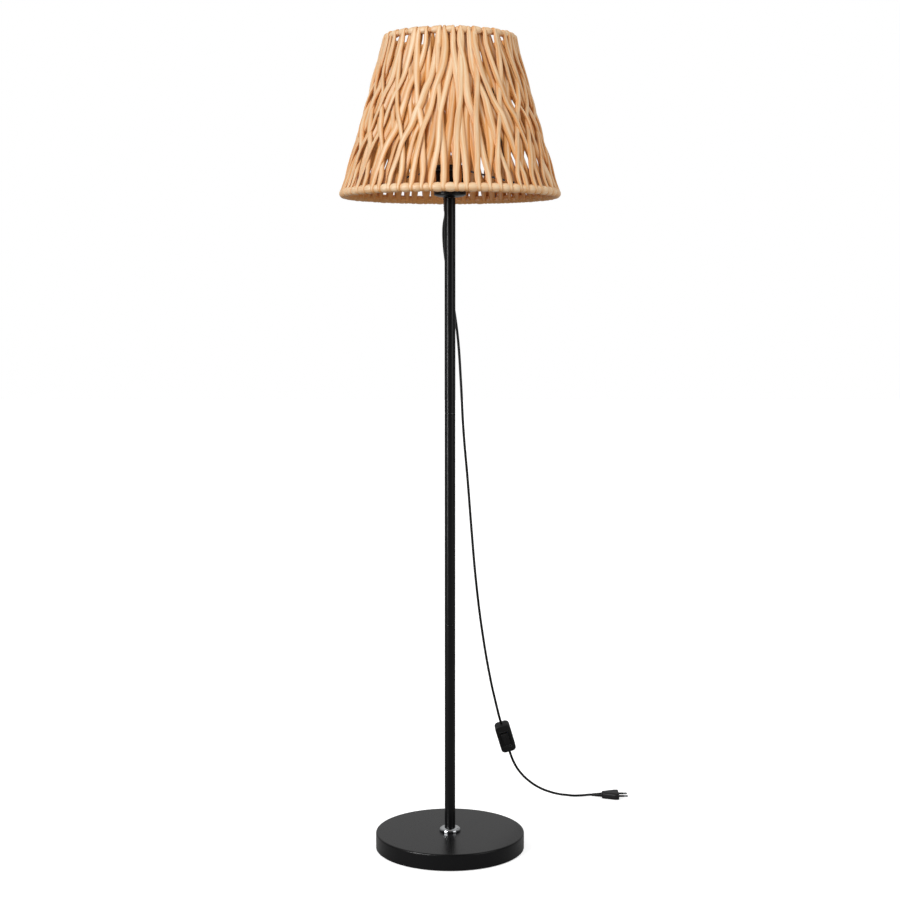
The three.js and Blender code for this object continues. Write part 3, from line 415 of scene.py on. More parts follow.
def tube(points, radius, sides=12):
    """A round section of the given radius, one or one for each point, square to a path of points.

    The section's first axis is the path's direction crossed with a fixed vector that it never follows.
    """
    points = np.asarray(points, float)
    ahead = unit(np.gradient(points, axis=0))
    helper = np.eye(3)[np.argmin(np.abs(ahead).max(axis=0))]
    side = unit(np.cross(ahead, helper))
    normal = np.cross(side, ahead)
    angle = np.linspace(0, 2 * math.pi, sides, endpoint=False)
    radius = np.broadcast_to(radius, len(points))[:, None, None]
    ring = points[:, None] + radius * (
        side[:, None] * np.cos(angle)[None, :, None] + normal[:, None] * np.sin(angle)[None, :, None])
    return loft(ring[None])


def rounded_rectangle(length, width, corner, steps=8):
    """Points of a rectangle with round corners: a quarter circle round each corner's own centre."""
    quarter = np.arange(4)[:, None] * math.pi / 2
    angle = quarter + np.linspace(0, math.pi / 2, steps)[None]
    side = np.array([[1, 1], [-1, 1], [-1, -1], [1, -1]])
    x = side[:, :1] * (length / 2 - corner) + corner * np.cos(angle)
    y = side[:, 1:] * (width / 2 - corner) + corner * np.sin(angle)
    return np.stack([x.ravel(), y.ravel()], -1)


def inset(outline, distance):
    """Length, width and corner of a rounded rectangle that is drawn in by a distance on every side."""
    length, width, corner = outline
    return length - 2 * distance, width - 2 * distance, corner - distance


def edge_rings(outline, edge, flat, out, steps=6):
    """Outlines (length, width, corner, height) of a rounded edge that leads from a side to a flat face."""
    angle = np.linspace(0, math.pi / 2, steps)
    height = flat + out * edge * (np.sin(angle) - 1)
    return [(*inset(outline, i), h) for i, h in zip(edge * (1 - np.cos(angle)), height)]


def stacked(outlines):
    """Rings for a loft from (length, width, corner, height) of rounded rectangles, one above the other."""
    rings = []
    for length, width, corner, height in outlines:
        outline = rounded_rectangle(length, width, corner)
        rings.append(np.column_stack([outline, np.full(len(outline), height)]))
    return np.array(rings)[None]


def ribs_along(share, count, depth):
    """Depth of moulded ribs: the full depth times half of one minus the cosine, once for each rib."""
    return depth * (0.5 - 0.5 * np.cos(2 * math.pi * count * share))


def add_piece(name, skin, body, kind, replaced=(), crease=METAL_CREASE, tags=None):
    """Makes a piece of a skin with a finish, rides it on its body and hides the CAD nodes it stands for.

    Tags are named values for each point, one or three of them, that the finish reads.
    """
    points, quads, fans = skin
    mesh = bpy.data.meshes.new(name)
    corners = np.concatenate([quads.ravel(), fans.ravel()]).astype(np.int32)
    sizes = np.concatenate([np.full(len(quads), 4), np.full(len(fans), 3)])
    mesh.vertices.add(len(points))
    mesh.vertices.foreach_set("co", points.astype(np.float32).ravel())
    mesh.loops.add(len(corners))
    mesh.loops.foreach_set("vertex_index", corners)
    mesh.polygons.add(len(sizes))
    mesh.polygons.foreach_set("loop_start", (np.cumsum(sizes) - sizes).astype(np.int32))
    mesh.polygons.foreach_set("use_smooth", np.ones(len(sizes), bool))
    mesh.update(calc_edges=True)
    mesh.validate()
    mesh.set_sharp_from_angle(angle=crease)
    for tag, values in (tags or {}).items():
        form, field = ("FLOAT_VECTOR", "vector") if values.ndim == 2 else ("FLOAT", "value")
        attribute = mesh.attributes.new(tag, form, "POINT")
        attribute.data.foreach_set(field, values.astype(np.float32).ravel())
    piece = bpy.data.objects.new(name, mesh)
    bpy.context.scene.collection.objects.link(piece)
    mesh.materials.append(finish_of(kind))
    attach(piece, body)
    if replaced:
        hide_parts(*replaced)
    return piece


# Finishes


def new_finish(name):
    """A named material, its node tree, its surface shader and its object coordinates."""
    material = bpy.data.materials.new(name)
    material.use_nodes = True
    tree = material.node_tree
    place = add_node(tree, "ShaderNodeTexCoord").outputs["Object"]
    return material, tree, tree.nodes["Principled BSDF"], place


def add_grain(tree, shader, place, grain, depth, strength=0.3):
    """Presses a fine random relief of a grain size and a depth into a surface, and returns its height."""
    noise = add_node(tree, "ShaderNodeTexNoise", {"Vector": place, "Scale": 1 / grain, "Detail": 3})
    bump = add_node(tree, "ShaderNodeBump", {
        "Height": noise.outputs["Fac"], "Strength": strength, "Distance": depth})
    tree.links.new(bump.outputs["Normal"], shader.inputs["Normal"])
    return noise.outputs["Fac"]


def vary_roughness(tree, shader, height, low, high):
    """Lets a pattern's height move the roughness between two limits."""
    spread = add_node(tree, "ShaderNodeMapRange", {"Value": height, "To Min": low, "To Max": high})
    tree.links.new(spread.outputs["Result"], shader.inputs["Roughness"])


def grained(name, grain, depth, strength, roughness, dark, light, sockets=None):
    """A finish with a fine relief, whose height also moves the roughness and mixes two colours.

    The roughness is a pair of limits, or one number where it is the same all over.
    """
    material, tree, shader, place = new_finish(name)
    for socket, value in (sockets or {}).items():
        shader.inputs[socket].default_value = value
    height = add_grain(tree, shader, place, grain, depth, strength)
    if isinstance(roughness, tuple):
        vary_roughness(tree, shader, height, *roughness)
    else:
        shader.inputs["Roughness"].default_value = roughness
    mix = add_node(tree, "ShaderNodeMix", {0: height, 6: dark, 7: light}, data_type="RGBA")
    tree.links.new(mix.outputs[2], shader.inputs["Base Color"])
    return material


def darker(colour, share):
    """A linear colour at a share of its brightness."""
    return (*[share * channel for channel in colour[:3]], 1)


def powder_coated_steel(colour):
    """Satin black powder coat: baked on, with a soft orange-peel surface that breaks up reflections.

    The peel of a real coat is about 0.6 mm wide; it is drawn at 2.4 mm so that it shows.
    """
    return grained("satin powder coat on steel", 2.4 * MM, 0.02 * MM, 0.1, (0.25, 0.32),
                   darker(colour, 0.85), tuple(colour), {"Specular IOR Level": 0.18})


def chrome_plate():
    """Polished chrome plate: mirror-like, with a faint haze from wiping."""
    material, tree, shader, place = new_finish("polished chrome plate")
    shader.inputs["Base Color"].default_value = linear("#B4B6B8")
    shader.inputs["Metallic"].default_value = 1
    haze = add_node(tree, "ShaderNodeTexNoise", {"Vector": place, "Scale": 1 / (6 * MM)})
    vary_roughness(tree, shader, haze.outputs["Fac"], 0.05, 0.13)
    return material


def zinc_plate():
    """Bright zinc plate on turned steel: grey, with a fine grain from turning."""
    return grained("bright zinc plate", 0.8 * MM, 0.02 * MM, 0.3, (0.28, 0.42),
                   linear("#9EA2A6"), linear("#B8BCBF"), {"Metallic": 1})


def cast_concrete():
    """Cast concrete filling: pale grey, rough and speckled with sand."""
    return grained("cast concrete", 1.5 * MM, 0.3 * MM, 0.6, 0.92, linear("#75726C"), linear("#A09D96"))


def rolled_brass():
    """Pressed brass sheet: warm yellow metal, slightly dull from handling."""
    return grained("pressed brass sheet", 1.2 * MM, 0.02 * MM, 0.2, (0.24, 0.38),
                   linear("#B8934A"), linear("#D2AD62"), {"Metallic": 1})


def needled_felt():
    """Needled polyester felt: black, matt, with short fibres that catch a little light."""
    return grained("needled black felt", 1.1 * MM, 0.4 * MM, 0.7, 0.95,
                   linear("#0D0D0D"), linear("#232323"), {"Sheen Weight": 0.3})


def stoved_enamel():
    """Black stoving enamel on drawn wire: smooth and fairly glossy."""
    return grained("black stoving enamel", 3 * MM, 0.05 * MM, 0.2, (0.25, 0.38),
                   linear("#0F0F10"), linear("#1A1A1B"))


def moulded_plastic(colour):
    """Injection-moulded black plastic with a spark-eroded mould surface, which leaves a fine satin grain.

    The grain of such a mould is about 0.2 mm; it is drawn at 0.7 mm so that it shows.
    """
    return grained("moulded black plastic", 0.7 * MM, 0.05 * MM, 0.35, (0.42, 0.56),
                   darker(colour, 0.8), tuple(colour), {"Specular IOR Level": 0.25})


def soft_pvc():
    """Extruded soft PVC sheath: black and even, with a faint waxy gloss along its length."""
    return grained("extruded soft PVC", 1.6 * MM, 0.03 * MM, 0.25, (0.42, 0.55),
                   linear("#090909"), linear("#0F0F0F"), {"Specular IOR Level": 0.2})


def core_insulation(name, colour):
    """Extruded insulation of a single core: an even, slightly glossy colour."""
    return grained(name, 1 * MM, 0.02 * MM, 0.2, (0.4, 0.5), darker(colour, 0.8), colour)


def paper_rattan(light, dark):
    """Twisted paper strand under a clear satin lacquer.

    It reads the strand's own coordinates: across, through and along it, in metres. Creases run along the
    strand, about 1.7 mm apart and 40 mm long, and a slower change of tone takes 9 mm across and 60 mm along
    it. The creases darken the colour where their bump dips: streaks in the paper and painted shade in the
    creases. The tone attribute holds painted light and shade: it is high where a point faces outward, a
    painted highlight, and near zero on the bulb's side and on the inner layer, a painted shade, with a random
    tone for each strand. The dark colour is the colour of that painted shade.
    """
    material, tree, shader, _ = new_finish("twisted paper rattan")
    fibre = add_node(tree, "ShaderNodeAttribute", attribute_name="fibre").outputs["Vector"]
    tone = add_node(tree, "ShaderNodeAttribute", attribute_name="tone").outputs["Fac"]
    crease_place, slow_place = (
        add_node(tree, "ShaderNodeMapping", {"Vector": fibre, "Scale": (1 / across, 1 / across, 1 / along)})
        for across, along in ((1.7 * MM, 40 * MM), (9 * MM, 60 * MM)))
    crease = add_node(tree, "ShaderNodeTexNoise", {
        "Vector": crease_place.outputs["Vector"], "Scale": 1, "Detail": 3, "Roughness": 0.6})
    slow = add_node(tree, "ShaderNodeTexNoise", {"Vector": slow_place.outputs["Vector"], "Scale": 1})
    line = add_node(tree, "ShaderNodeMapRange", {
        "Value": crease.outputs["Fac"], "From Min": 0.3, "From Max": 0.7, "To Min": -0.26, "To Max": 0.2})
    drift = add_node(tree, "ShaderNodeMapRange", {
        "Value": slow.outputs["Fac"], "From Min": 0.3, "From Max": 0.7, "To Min": -0.1, "To Max": 0.1})
    both = add_node(tree, "ShaderNodeMath", {
        0: line.outputs["Result"], 1: drift.outputs["Result"]}, operation="ADD")
    level = add_node(tree, "ShaderNodeMath", {0: both.outputs["Value"], 1: tone}, operation="ADD")
    # The ramp runs from the painted-shade colour to the paper's own colour, through their mean
    ramp = add_node(tree, "ShaderNodeValToRGB", {"Fac": level.outputs["Value"]})
    ramp.color_ramp.elements[0].color = tuple(dark)
    ramp.color_ramp.elements[1].color = tuple(light)
    ramp.color_ramp.elements.new(0.55).color = tuple(0.5 * d + 0.5 * b for d, b in zip(dark, light))
    tree.links.new(ramp.outputs["Color"], shader.inputs["Base Color"])
    bump = add_node(tree, "ShaderNodeBump", {
        "Height": crease.outputs["Fac"], "Strength": 0.55, "Distance": 0.7 * MM})
    tree.links.new(bump.outputs["Normal"], shader.inputs["Normal"])
    vary_roughness(tree, shader, crease.outputs["Fac"], 0.38, 0.56)
    return material


def studio_floor():
    """White studio floor. The eye sees it brighter than it is lit, so it is white up to the soft shadow.

    Light that bounces off it comes from a mid grey, so the underside of the lamp stays in shade.
    """
    material, tree, shader, place = new_finish("white studio floor")
    tree.nodes.remove(shader)
    grain = add_node(tree, "ShaderNodeTexNoise", {"Vector": place, "Scale": 1 / (80 * MM)})
    colour = add_node(tree, "ShaderNodeMix", {
        0: grain.outputs["Fac"], 6: linear("#EDEDED"), 7: linear("#F2F2F2")}, data_type="RGBA")
    matt = add_node(tree, "ShaderNodeBsdfDiffuse", {"Color": colour.outputs[2]})
    glow = add_node(tree, "ShaderNodeEmission", {"Strength": FLOOR_GLOW})
    both = add_node(tree, "ShaderNodeAddShader", {0: matt.outputs[0], 1: glow.outputs[0]})
    grey = add_node(tree, "ShaderNodeBsdfDiffuse", {"Color": linear("#A8A8A8")})
    mix = add_node(tree, "ShaderNodeMixShader", {
        0: seen_rays(tree, FLOOR_MIRRORED), 1: grey.outputs[0], 2: both.outputs[0]})
    tree.links.new(mix.outputs[0], tree.nodes["Material Output"].inputs["Surface"])
    return material


def seen_rays(tree, reflected):
    """1 for rays from the camera or through glass, the given share for reflected rays, and 0 for lighting."""
    path = add_node(tree, "ShaderNodeLightPath")
    mirrored = add_node(tree, "ShaderNodeMath", {
        0: path.outputs["Is Glossy Ray"], 1: reflected}, operation="MULTIPLY")
    first = add_node(tree, "ShaderNodeMath", {
        0: path.outputs["Is Camera Ray"], 1: mirrored.outputs["Value"]}, operation="MAXIMUM")
    seen = add_node(tree, "ShaderNodeMath", {
        0: first.outputs["Value"], 1: path.outputs["Is Transmission Ray"]}, operation="MAXIMUM")
    return seen.outputs["Value"]


# The material slot that each finish stands for
SLOTS = {
    "coat": "black_paint", "plastic": "black_plastic", "chrome": "chrome", "zinc": "zinc",
    "concrete": "concrete", "brass": "brass", "felt": "felt", "rattan": "rattan", "enamel": "wire_paint",
    "pvc": "cord",
}
finishes = {}


def finish_of(kind):
    """The finish of that kind, made on first use."""
    if kind not in finishes:
        colours = bpy.context.scene.lamp_colours
        makers = {
            "coat": lambda: powder_coated_steel(colours.coat),
            "chrome": chrome_plate,
            "zinc": zinc_plate,
            "concrete": cast_concrete,
            "brass": rolled_brass,
            "felt": needled_felt,
            "enamel": stoved_enamel,
            "plastic": lambda: moulded_plastic(colours.plastic),
            "pvc": soft_pvc,
            "brown_core": lambda: core_insulation("brown core insulation", linear("#6A4126")),
            "blue_core": lambda: core_insulation("blue core insulation", linear("#2A5FA8")),
            "rattan": lambda: paper_rattan(colours.strand, colours.strand_painted_shade),
        }
        finishes[kind] = makers[kind]()
    return finishes[kind]


# Stage and cords


def add_light(name, kind, place, target, **settings):
    """Hangs a light so that its own -Z axis points from its place to the target, and returns its object."""
    light = bpy.data.lights.new(name, kind)
    for setting, value in settings.items():
        setattr(light, setting, value)
    holder = bpy.data.objects.new(name, light)
    bpy.context.scene.collection.objects.link(holder)
    holder.location = place
    toward = holder.location.copy()
    toward[:] = [t - p for t, p in zip(target, place)]
    holder.rotation_euler = toward.to_track_quat("-Z", "Y").to_euler()
    return holder


class LAMP_OT_stage(bpy.types.Operator):
    """Sets the camera, the lights, the white surroundings and the floor."""

    bl_idname = "lamp.stage"
    bl_label = "Stage"

    def execute(self, context):
        scene = context.scene
        camera_data = bpy.data.cameras.new("camera")
        camera_data.lens = CAMERA_LENS
        camera_data.sensor_width = SENSOR_WIDTH
        camera = bpy.data.objects.new("camera", camera_data)
        camera.location = CAMERA_PLACE
        camera.rotation_euler = (math.pi / 2 - CAMERA_PITCH, 0, 0)
        scene.collection.objects.link(camera)
        scene.camera = camera
        scene.view_settings.view_transform = "Standard"

        world = bpy.data.worlds.new("surroundings")
        scene.world = world
        world.use_nodes = True
        self.light_world(world.node_tree)

        add_light("key light", "SUN", (-2.5, -2.9, 2.6), LAMP_MIDDLE, energy=2.05, angle=22 * DEGREE)
        strip = add_light("strip light", "AREA", (-2.1, -1.45, 1.35), (0, 0, 1), shape="RECTANGLE",
                          size=0.34, size_y=2.2, energy=70)
        strip.visible_diffuse = False
        add_light("fill light", "AREA", (3, -2.2, 1.6), LAMP_MIDDLE, size=2.2, energy=40)

        corner = FLOOR_REACH * np.array([[-1, -1], [1, -1], [1, 1], [-1, 1]], float)
        ring = np.stack([np.column_stack([corner, np.full(4, height)]) for height in FLOOR_HEIGHTS])
        points, quads, fans = loft(ring[None])
        mesh = bpy.data.meshes.new("floor")
        mesh.from_pydata(points.tolist(), [], quads.tolist() + fans.tolist())
        mesh.materials.append(studio_floor())
        floor = bpy.data.objects.new("floor", mesh)
        scene.collection.objects.link(floor)
        return {"FINISHED"}

    def light_world(self, tree):
        """Fills the world: white to the eye, soft for lighting, and dim to reflections round the camera.

        A real studio is white above and behind the lamp and dark round the camera, which polished metal and
        satin black show. Height plus distance behind the lamp, both of the ray's direction, make it brighter.
        """
        direction = add_node(tree, "ShaderNodeTexCoord").outputs["Generated"]
        parts = add_node(tree, "ShaderNodeSeparateXYZ", {0: direction}).outputs
        height = add_node(tree, "ShaderNodeMath", {0: parts["Z"], 1: WORLD_RISE}, operation="MULTIPLY")
        rise = add_node(tree, "ShaderNodeMath", {0: height.outputs["Value"], 1: parts["Y"]}, operation="ADD")
        reflected = add_node(tree, "ShaderNodeMapRange", {
            "Value": rise.outputs["Value"], "From Min": WORLD_LIMITS[0], "From Max": WORLD_LIMITS[1],
            "To Min": WORLD_LEAST, "To Max": 1})
        white = tree.nodes["Background"]
        white.inputs["Color"].default_value = (1, 1, 1, 1)
        white.inputs["Strength"].default_value = 1
        soft = add_node(tree, "ShaderNodeBackground", {"Color": (1, 1, 1, 1), "Strength": WORLD_LIGHT})
        dark = add_node(tree, "ShaderNodeBackground", {"Color": (0, 0, 0, 1), "Strength": 0})
        path = add_node(tree, "ShaderNodeLightPath")
        rest = add_node(tree, "ShaderNodeMixShader", {
            0: path.outputs["Is Glossy Ray"], 1: soft.outputs[0], 2: dark.outputs[0]})
        mix = add_node(tree, "ShaderNodeMixShader", {
            0: seen_rays(tree, reflected.outputs["Result"]), 1: rest.outputs[0], 2: white.outputs[0]})
        tree.links.new(mix.outputs[0], tree.nodes["World Output"].inputs["Surface"])


def add_cord(name, route, diameter, replaced):
    """A cord as a curve: a round section on a smooth line through the route's points."""
    data = bpy.data.curves.new(name, "CURVE")
    data.dimensions = "3D"
    data.bevel_depth = diameter / 2
    data.bevel_resolution = 5
    data.resolution_u = 8
    data.use_fill_caps = True
    line = data.splines.new("BEZIER")
    line.bezier_points.add(len(route) - 1)
    line.bezier_points.foreach_set("co", np.array(route, np.float32).ravel())
    for point in line.bezier_points:
        point.handle_left_type = point.handle_right_type = "AUTO"
    data.materials.append(finish_of("pvc"))
    cord = bpy.data.objects.new(name, data)
    bpy.context.scene.collection.objects.link(cord)
    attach(cord, "lamp_body")
    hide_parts(replaced)
    return cord


class LAMP_OT_cords(bpy.types.Operator):
    """Makes the two stretches of the free cord, above and below the switch."""

    bl_idname = "lamp.cords"
    bl_label = "Cords"

    def execute(self, context):
        diameter = context.scene.lamp_sizes.cord_diameter
        add_cord("upper_cord", UPPER_ROUTE, diameter, "cord_upper")
        add_cord("lower_cord", LOWER_ROUTE, diameter, "cord_lower")
        return {"FINISHED"}


class LAMP_OT_declare_cords(bpy.types.Operator):
    """An empty step: it changes nothing."""

    bl_idname = "lamp.declare_cords"
    bl_label = "Cord facts"

    def execute(self, context):
        return {"FINISHED"}


# Base and pole


class LAMP_OT_base(bpy.types.Operator):
    """Makes the pressed base cover, its felt pad and the chrome collar."""

    bl_idname = "lamp.base"
    bl_label = "Base"

    def execute(self, context):
        _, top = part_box("base_cover")
        radius, height = top.x, top.z
        cover = soften([
            (STUD_BORE, height), (radius, height), (radius, COVER_FOOT), (radius - COVER_WALL, COVER_FOOT),
            (radius - COVER_WALL, height - COVER_WALL), (STUD_BORE, height - COVER_WALL),
        ], [0.2 * MM, COVER_EDGE, 0.5 * MM, 0.4 * MM, 2 * MM, 0.2 * MM], steps=9)
        add_piece("base_shell", revolve(hold_flats(cover), 192), "lamp_body", "coat", ["base_cover"])

        low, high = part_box("base_pad")
        pad = ring_section(PAD_BORE, high.x, low, high, 0.5 * MM)
        add_piece("felt_pad", revolve(hold_flats(pad), 128), "lamp_body", "felt", ["base_pad"])

        low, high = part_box("foot_collar")
        quarter = np.linspace(0, math.pi / 2, 14)
        crown_height = high.z - low.z - COLLAR_RIM
        dome = np.column_stack([
            COLLAR_CROWN + (high.x - COLLAR_CROWN) * np.cos(quarter),
            low.z + COLLAR_RIM + crown_height * np.sin(quarter),
        ])
        collar = [(COLLAR_BORE, low.z), (high.x - 0.4 * MM, low.z), (high.x, low.z + 0.4 * MM), *dome,
                  (COLLAR_BORE, high.z)]
        add_piece("chrome_collar", revolve(collar, 96), "lamp_body", "chrome", ["foot_collar"])
        return {"FINISHED"}


class LAMP_OT_pole(bpy.types.Operator):
    """Makes the pole's three tubes, each with its ends rounded over."""

    bl_idname = "lamp.pole"
    bl_label = "Pole"

    def execute(self, context):
        for node in ("pole_lower", "pole_middle", "pole_upper"):
            low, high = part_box(node)
            bore = high.x - POLE_WALL
            wall = soften(
                [(high.x, low.z), (high.x, high.z), (bore, high.z), (bore, low.z)], 0.35 * MM, steps=4)
            add_piece(f"{node}_tube", revolve(hold_flats(wall), 64), "lamp_body", "coat", [node])
        return {"FINISHED"}


# Cup, holder and clamp ring


def dome_height(radius, outer, low):
    """Height of the cup's underside at a radius.

    It is low plus the rise times one minus the square root of one minus the squared share of the radius.
    """
    share = np.minimum(radius / outer, 1)
    return low + DOME_RISE * (1 - np.sqrt(1 - share ** 2))


class LAMP_OT_holder(bpy.types.Operator):
    """Makes the cup with its domed underside, the gland, the lamp holder and the clamp ring."""

    bl_idname = "lamp.holder"
    bl_label = "Cup and holder"

    def execute(self, context):
        low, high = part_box("holder_cup")
        outer, inner = high.x, high.x - CUP_WALL
        spread = np.sin(np.linspace(0, math.pi / 2, 16))
        outside = STUD_BORE + (outer - STUD_BORE) * spread
        inside = STUD_BORE + (inner - STUD_BORE) * spread
        cup = np.concatenate([
            np.column_stack([outside, dome_height(outside, outer, low.z)]),
            [(outer, high.z - CUP_LIP), (outer - CUP_LIP, high.z), (inner, high.z)],
            np.column_stack([inside, dome_height(inside, inner, low.z + CUP_WALL)])[::-1],
        ])
        add_piece("cup", revolve(hold_flats(cup), 96), "lamp_body", "coat", ["holder_cup"])
        self.add_gland()
        self.add_skirt()
        self.add_screw_shell()
        self.add_clamp_ring()
        return {"FINISHED"}

    def add_gland(self):
        """Adds the cord gland: a flange, a neck and a tail that tapers in six moulded ribs.

        Three tenths of a rib's depth stand out of the taper, and the ribs start just below the neck.
        """
        low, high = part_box("cord_gland")
        centre = ((low.x + high.x) / 2, (low.y + high.y) / 2)
        flange = (high.x - low.x) / 2
        under = low.z + GLAND_TAIL
        tail_top, tip = GLAND_TAIL_RADII
        share = np.linspace(0, 1, 60)
        wave = ribs_along(share, GLAND_RIBS, GLAND_RIB_DEPTH) * (share > 0.04)
        tail = np.column_stack([
            tip + (tail_top - tip) * (1 - share) - wave * 0.8 + GLAND_RIB_DEPTH * 0.3,
            under - (under - low.z) * share,
        ])
        profile = np.concatenate([
            soften([(GLAND_BORE, high.z), (flange, high.z), (flange, under), (tail_top, under)],
                   0.8 * MM, closed=False),
            tail, [(GLAND_BORE, low.z)],
        ])
        add_piece("gland", revolve(profile, 40, False, centre), "lamp_body", "plastic", ["cord_gland"])

    def add_skirt(self):
        """Adds the holder's skirt, with a lip at its mouth and a fine screw thread on its outside."""
        low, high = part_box("holder_skirt")
        rise = np.linspace(low.z + 1 * MM, high.z - 1.2 * MM, 90)
        thread = np.column_stack([
            HOLDER_RADIUS + SKIRT_THREAD_DEPTH * np.cos(2 * math.pi * rise / SKIRT_THREAD_PITCH), rise])
        mouth = soften([
            (HOLDER_RADIUS, high.z - 1 * MM), (HOLDER_RADIUS, high.z), (HOLDER_MOUTH, high.z),
            (HOLDER_MOUTH, high.z - HOLDER_LIP), (HOLDER_INNER, high.z - HOLDER_LIP),
            (HOLDER_INNER, low.z + HOLDER_LIP),
        ], 0.6 * MM, closed=False)
        profile = np.concatenate([
            [(HOLDER_INNER, low.z), (HOLDER_RADIUS - 0.3 * MM, low.z)], thread, mouth])
        add_piece("skirt", revolve(profile, 96), "lamp_body", "plastic", ["holder_skirt"])

    def add_screw_shell(self):
        """Adds the screw shell: a sheet tube whose radius waves once for each pitch and each turn."""
        low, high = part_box("screw_shell")
        angle = np.linspace(0, 2 * math.pi, 72, endpoint=False)
        rise = np.linspace(low.z, high.z, 90)[:, None]
        wave = SHELL_THREAD_DEPTH * (1 + np.cos(2 * math.pi * rise / SHELL_THREAD_PITCH - angle)) / 2
        outer = high.x - SHELL_THREAD_DEPTH + wave
        radius = np.concatenate([outer, (outer - SHELL_SHEET)[::-1]])
        ring = round_axis(radius, angle, np.concatenate([rise, rise[::-1]]))
        add_piece("screw_thread_shell", loft(ring[None], True), "lamp_body", "brass", ["screw_shell"])

    def add_clamp_ring(self):
        """Adds the clamp ring: a ring whose outside dips between its finger lobes."""
        low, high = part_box("clamp_ring")
        angle = np.linspace(0, 2 * math.pi, CLAMP_LOBES * 12, endpoint=False)
        groove = CLAMP_DIP * np.maximum(0, np.cos(CLAMP_LOBES * angle)) ** 2
        profile = ring_section(CLAMP_BORE, high.y, low, high, [0.3 * MM, 0.9 * MM, 1.2 * MM, 0.8 * MM])
        radius, height = profile.T[:, :, None]
        ring = round_axis(radius - groove * (radius > high.y - CLAMP_GRIP), angle, height)
        add_piece("finger_ring", loft(ring[None], True), "clamp", "plastic", ["clamp_ring"])


# Shade


def slope_of(rings):
    """The cone's slope off the vertical, from the radii of the two rings."""
    return math.atan2(rings[0] - rings[1], TOP_RING_Z - BOTTOM_RING_Z)


def ring_radii():
    """Centre radii of the bottom and the top wire ring, from each ring's box and its wire."""
    tops = [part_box(node)[1] for node in ("bottom_wire", "top_wire")]
    return [max(top.x, top.y) - RING_WIRE_RADIUS for top in tops]


def on_cone(rings, angle, share, lift, along):
    """Points at an angle and a share of the way from the bottom ring to the top ring.

    The radius is the rings' mean by share, plus the lift times the cosine of the slope, less the distance
    along the cone times its sine; the height is found likewise with sine and cosine exchanged.
    """
    bottom, top = rings
    slope = slope_of(rings)
    radius = bottom + (top - bottom) * share + lift * math.cos(slope) - along * math.sin(slope)
    height = BOTTOM_RING_Z + (TOP_RING_Z - BOTTOM_RING_Z) * share
    return round_axis(radius, angle, height + lift * math.sin(slope) + along * math.cos(slope))


def smooth_noise(rng, rows, steps, waves, size):
    """Rows of smooth random values: a sum of sine waves, one to waves of them, of random size and phase."""
    share = np.linspace(0, 1, steps)
    order = np.arange(1, waves + 1)
    phase = rng.uniform(0, 2 * math.pi, (rows, waves, 1))
    weight = rng.normal(size=(rows, waves, 1)) / np.sqrt(order)[None, :, None]
    wave = np.sin(2 * math.pi * order[None, :, None] * share[None, None, :] + phase)
    return size * (weight * wave).sum(axis=1) / math.sqrt((1 / order).sum() / 2)


def signed_power(values, power):
    """The size of each value to a power, with the value's own sign."""
    return np.sign(values) * np.abs(values) ** power


class LAMP_OT_shade_frame(bpy.types.Operator):
    """Makes the shade's wire frame: plate, three arms, six struts and the two rings inside the rims."""

    bl_idname = "lamp.shade_frame"
    bl_label = "Shade frame"

    def execute(self, context):
        rings = ring_radii()
        low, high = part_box("fitter_plate")
        plate = ring_section(PLATE_BORE, high.x, low, high, 0.6 * MM)
        add_piece("shade_plate", revolve(hold_flats(plate), 96), "shade", "enamel", ["fitter_plate"])

        wires = []
        turn = np.linspace(0, 2 * math.pi, 12, endpoint=False)
        section = RING_WIRE_RADIUS * np.column_stack([np.cos(turn), np.sin(turn)])
        for radius, height in zip(rings, (BOTTOM_RING_Z, TOP_RING_Z)):
            wires.append(revolve(section + (radius, height), 160))
        share = np.linspace(0, 1, 12)[:, None]
        for angle in np.radians(ARM_DEGREES):
            inner = round_axis(high.x, angle, (low.z + high.z) / 2)
            outer = on_cone(rings, angle, 0, 0, 0)
            wires.append(tube(inner * (1 - share) + outer * share, ARM_RADIUS))
        share = np.linspace(0, 1, 24)
        for angle in np.radians(STRUT_DEGREES):
            wires.append(tube(on_cone(rings, angle + 0 * share, share, -STRUT_INSET, 0), STRUT_RADIUS, 10))
        nodes = ["bottom_wire", "top_wire", *[f"shade_arm_{i}" for i in (1, 2, 3)],
                 *[f"shade_strut_{i}" for i in range(1, 7)]]
        add_piece("shade_wires", join(wires), "shade", "enamel", nodes)
        return {"FINISHED"}


def strand_stations():
    """The stations of one turn of the strand, as four rows: share up the cone, turn round a ring, lean, foot.

    The turn is the angle round a ring's section, 0 outside and minus half a turn inside. The strand comes
    over the top rim, runs down outside, loops under the bottom rim, runs up inside and tucks in at the top.
    Lean counts from minus one to one, and foot is its small step aside at each rim, from minus one to one.
    A run has 46 stations, the turn over the top rim 10, the loop under the bottom rim 12 and the tuck 6.
    """
    run = np.linspace(0, 1, 46)
    over = np.linspace(165, 0, 11)[:-1]
    under = np.linspace(0, -180, 14)[1:-1]
    tuck = np.linspace(-180, -230, 7)[1:]
    return np.concatenate([
        np.stack([0 * over + 1, over, 0 * over - 1, -1 - 2 * over / 180]),
        np.stack([run[::-1], 0 * run, -run[::-1], 0 * run - 1]),
        np.stack([0 * under, under, 0 * under, -1 - 2 * under / 180]),
        np.stack([run, 0 * run - 180, run, 0 * run + 1]),
        np.stack([0 * tuck + 1, tuck, 0 * tuck + 1, 1 - 2 * (tuck + 180) / 180]),
    ], axis=1)


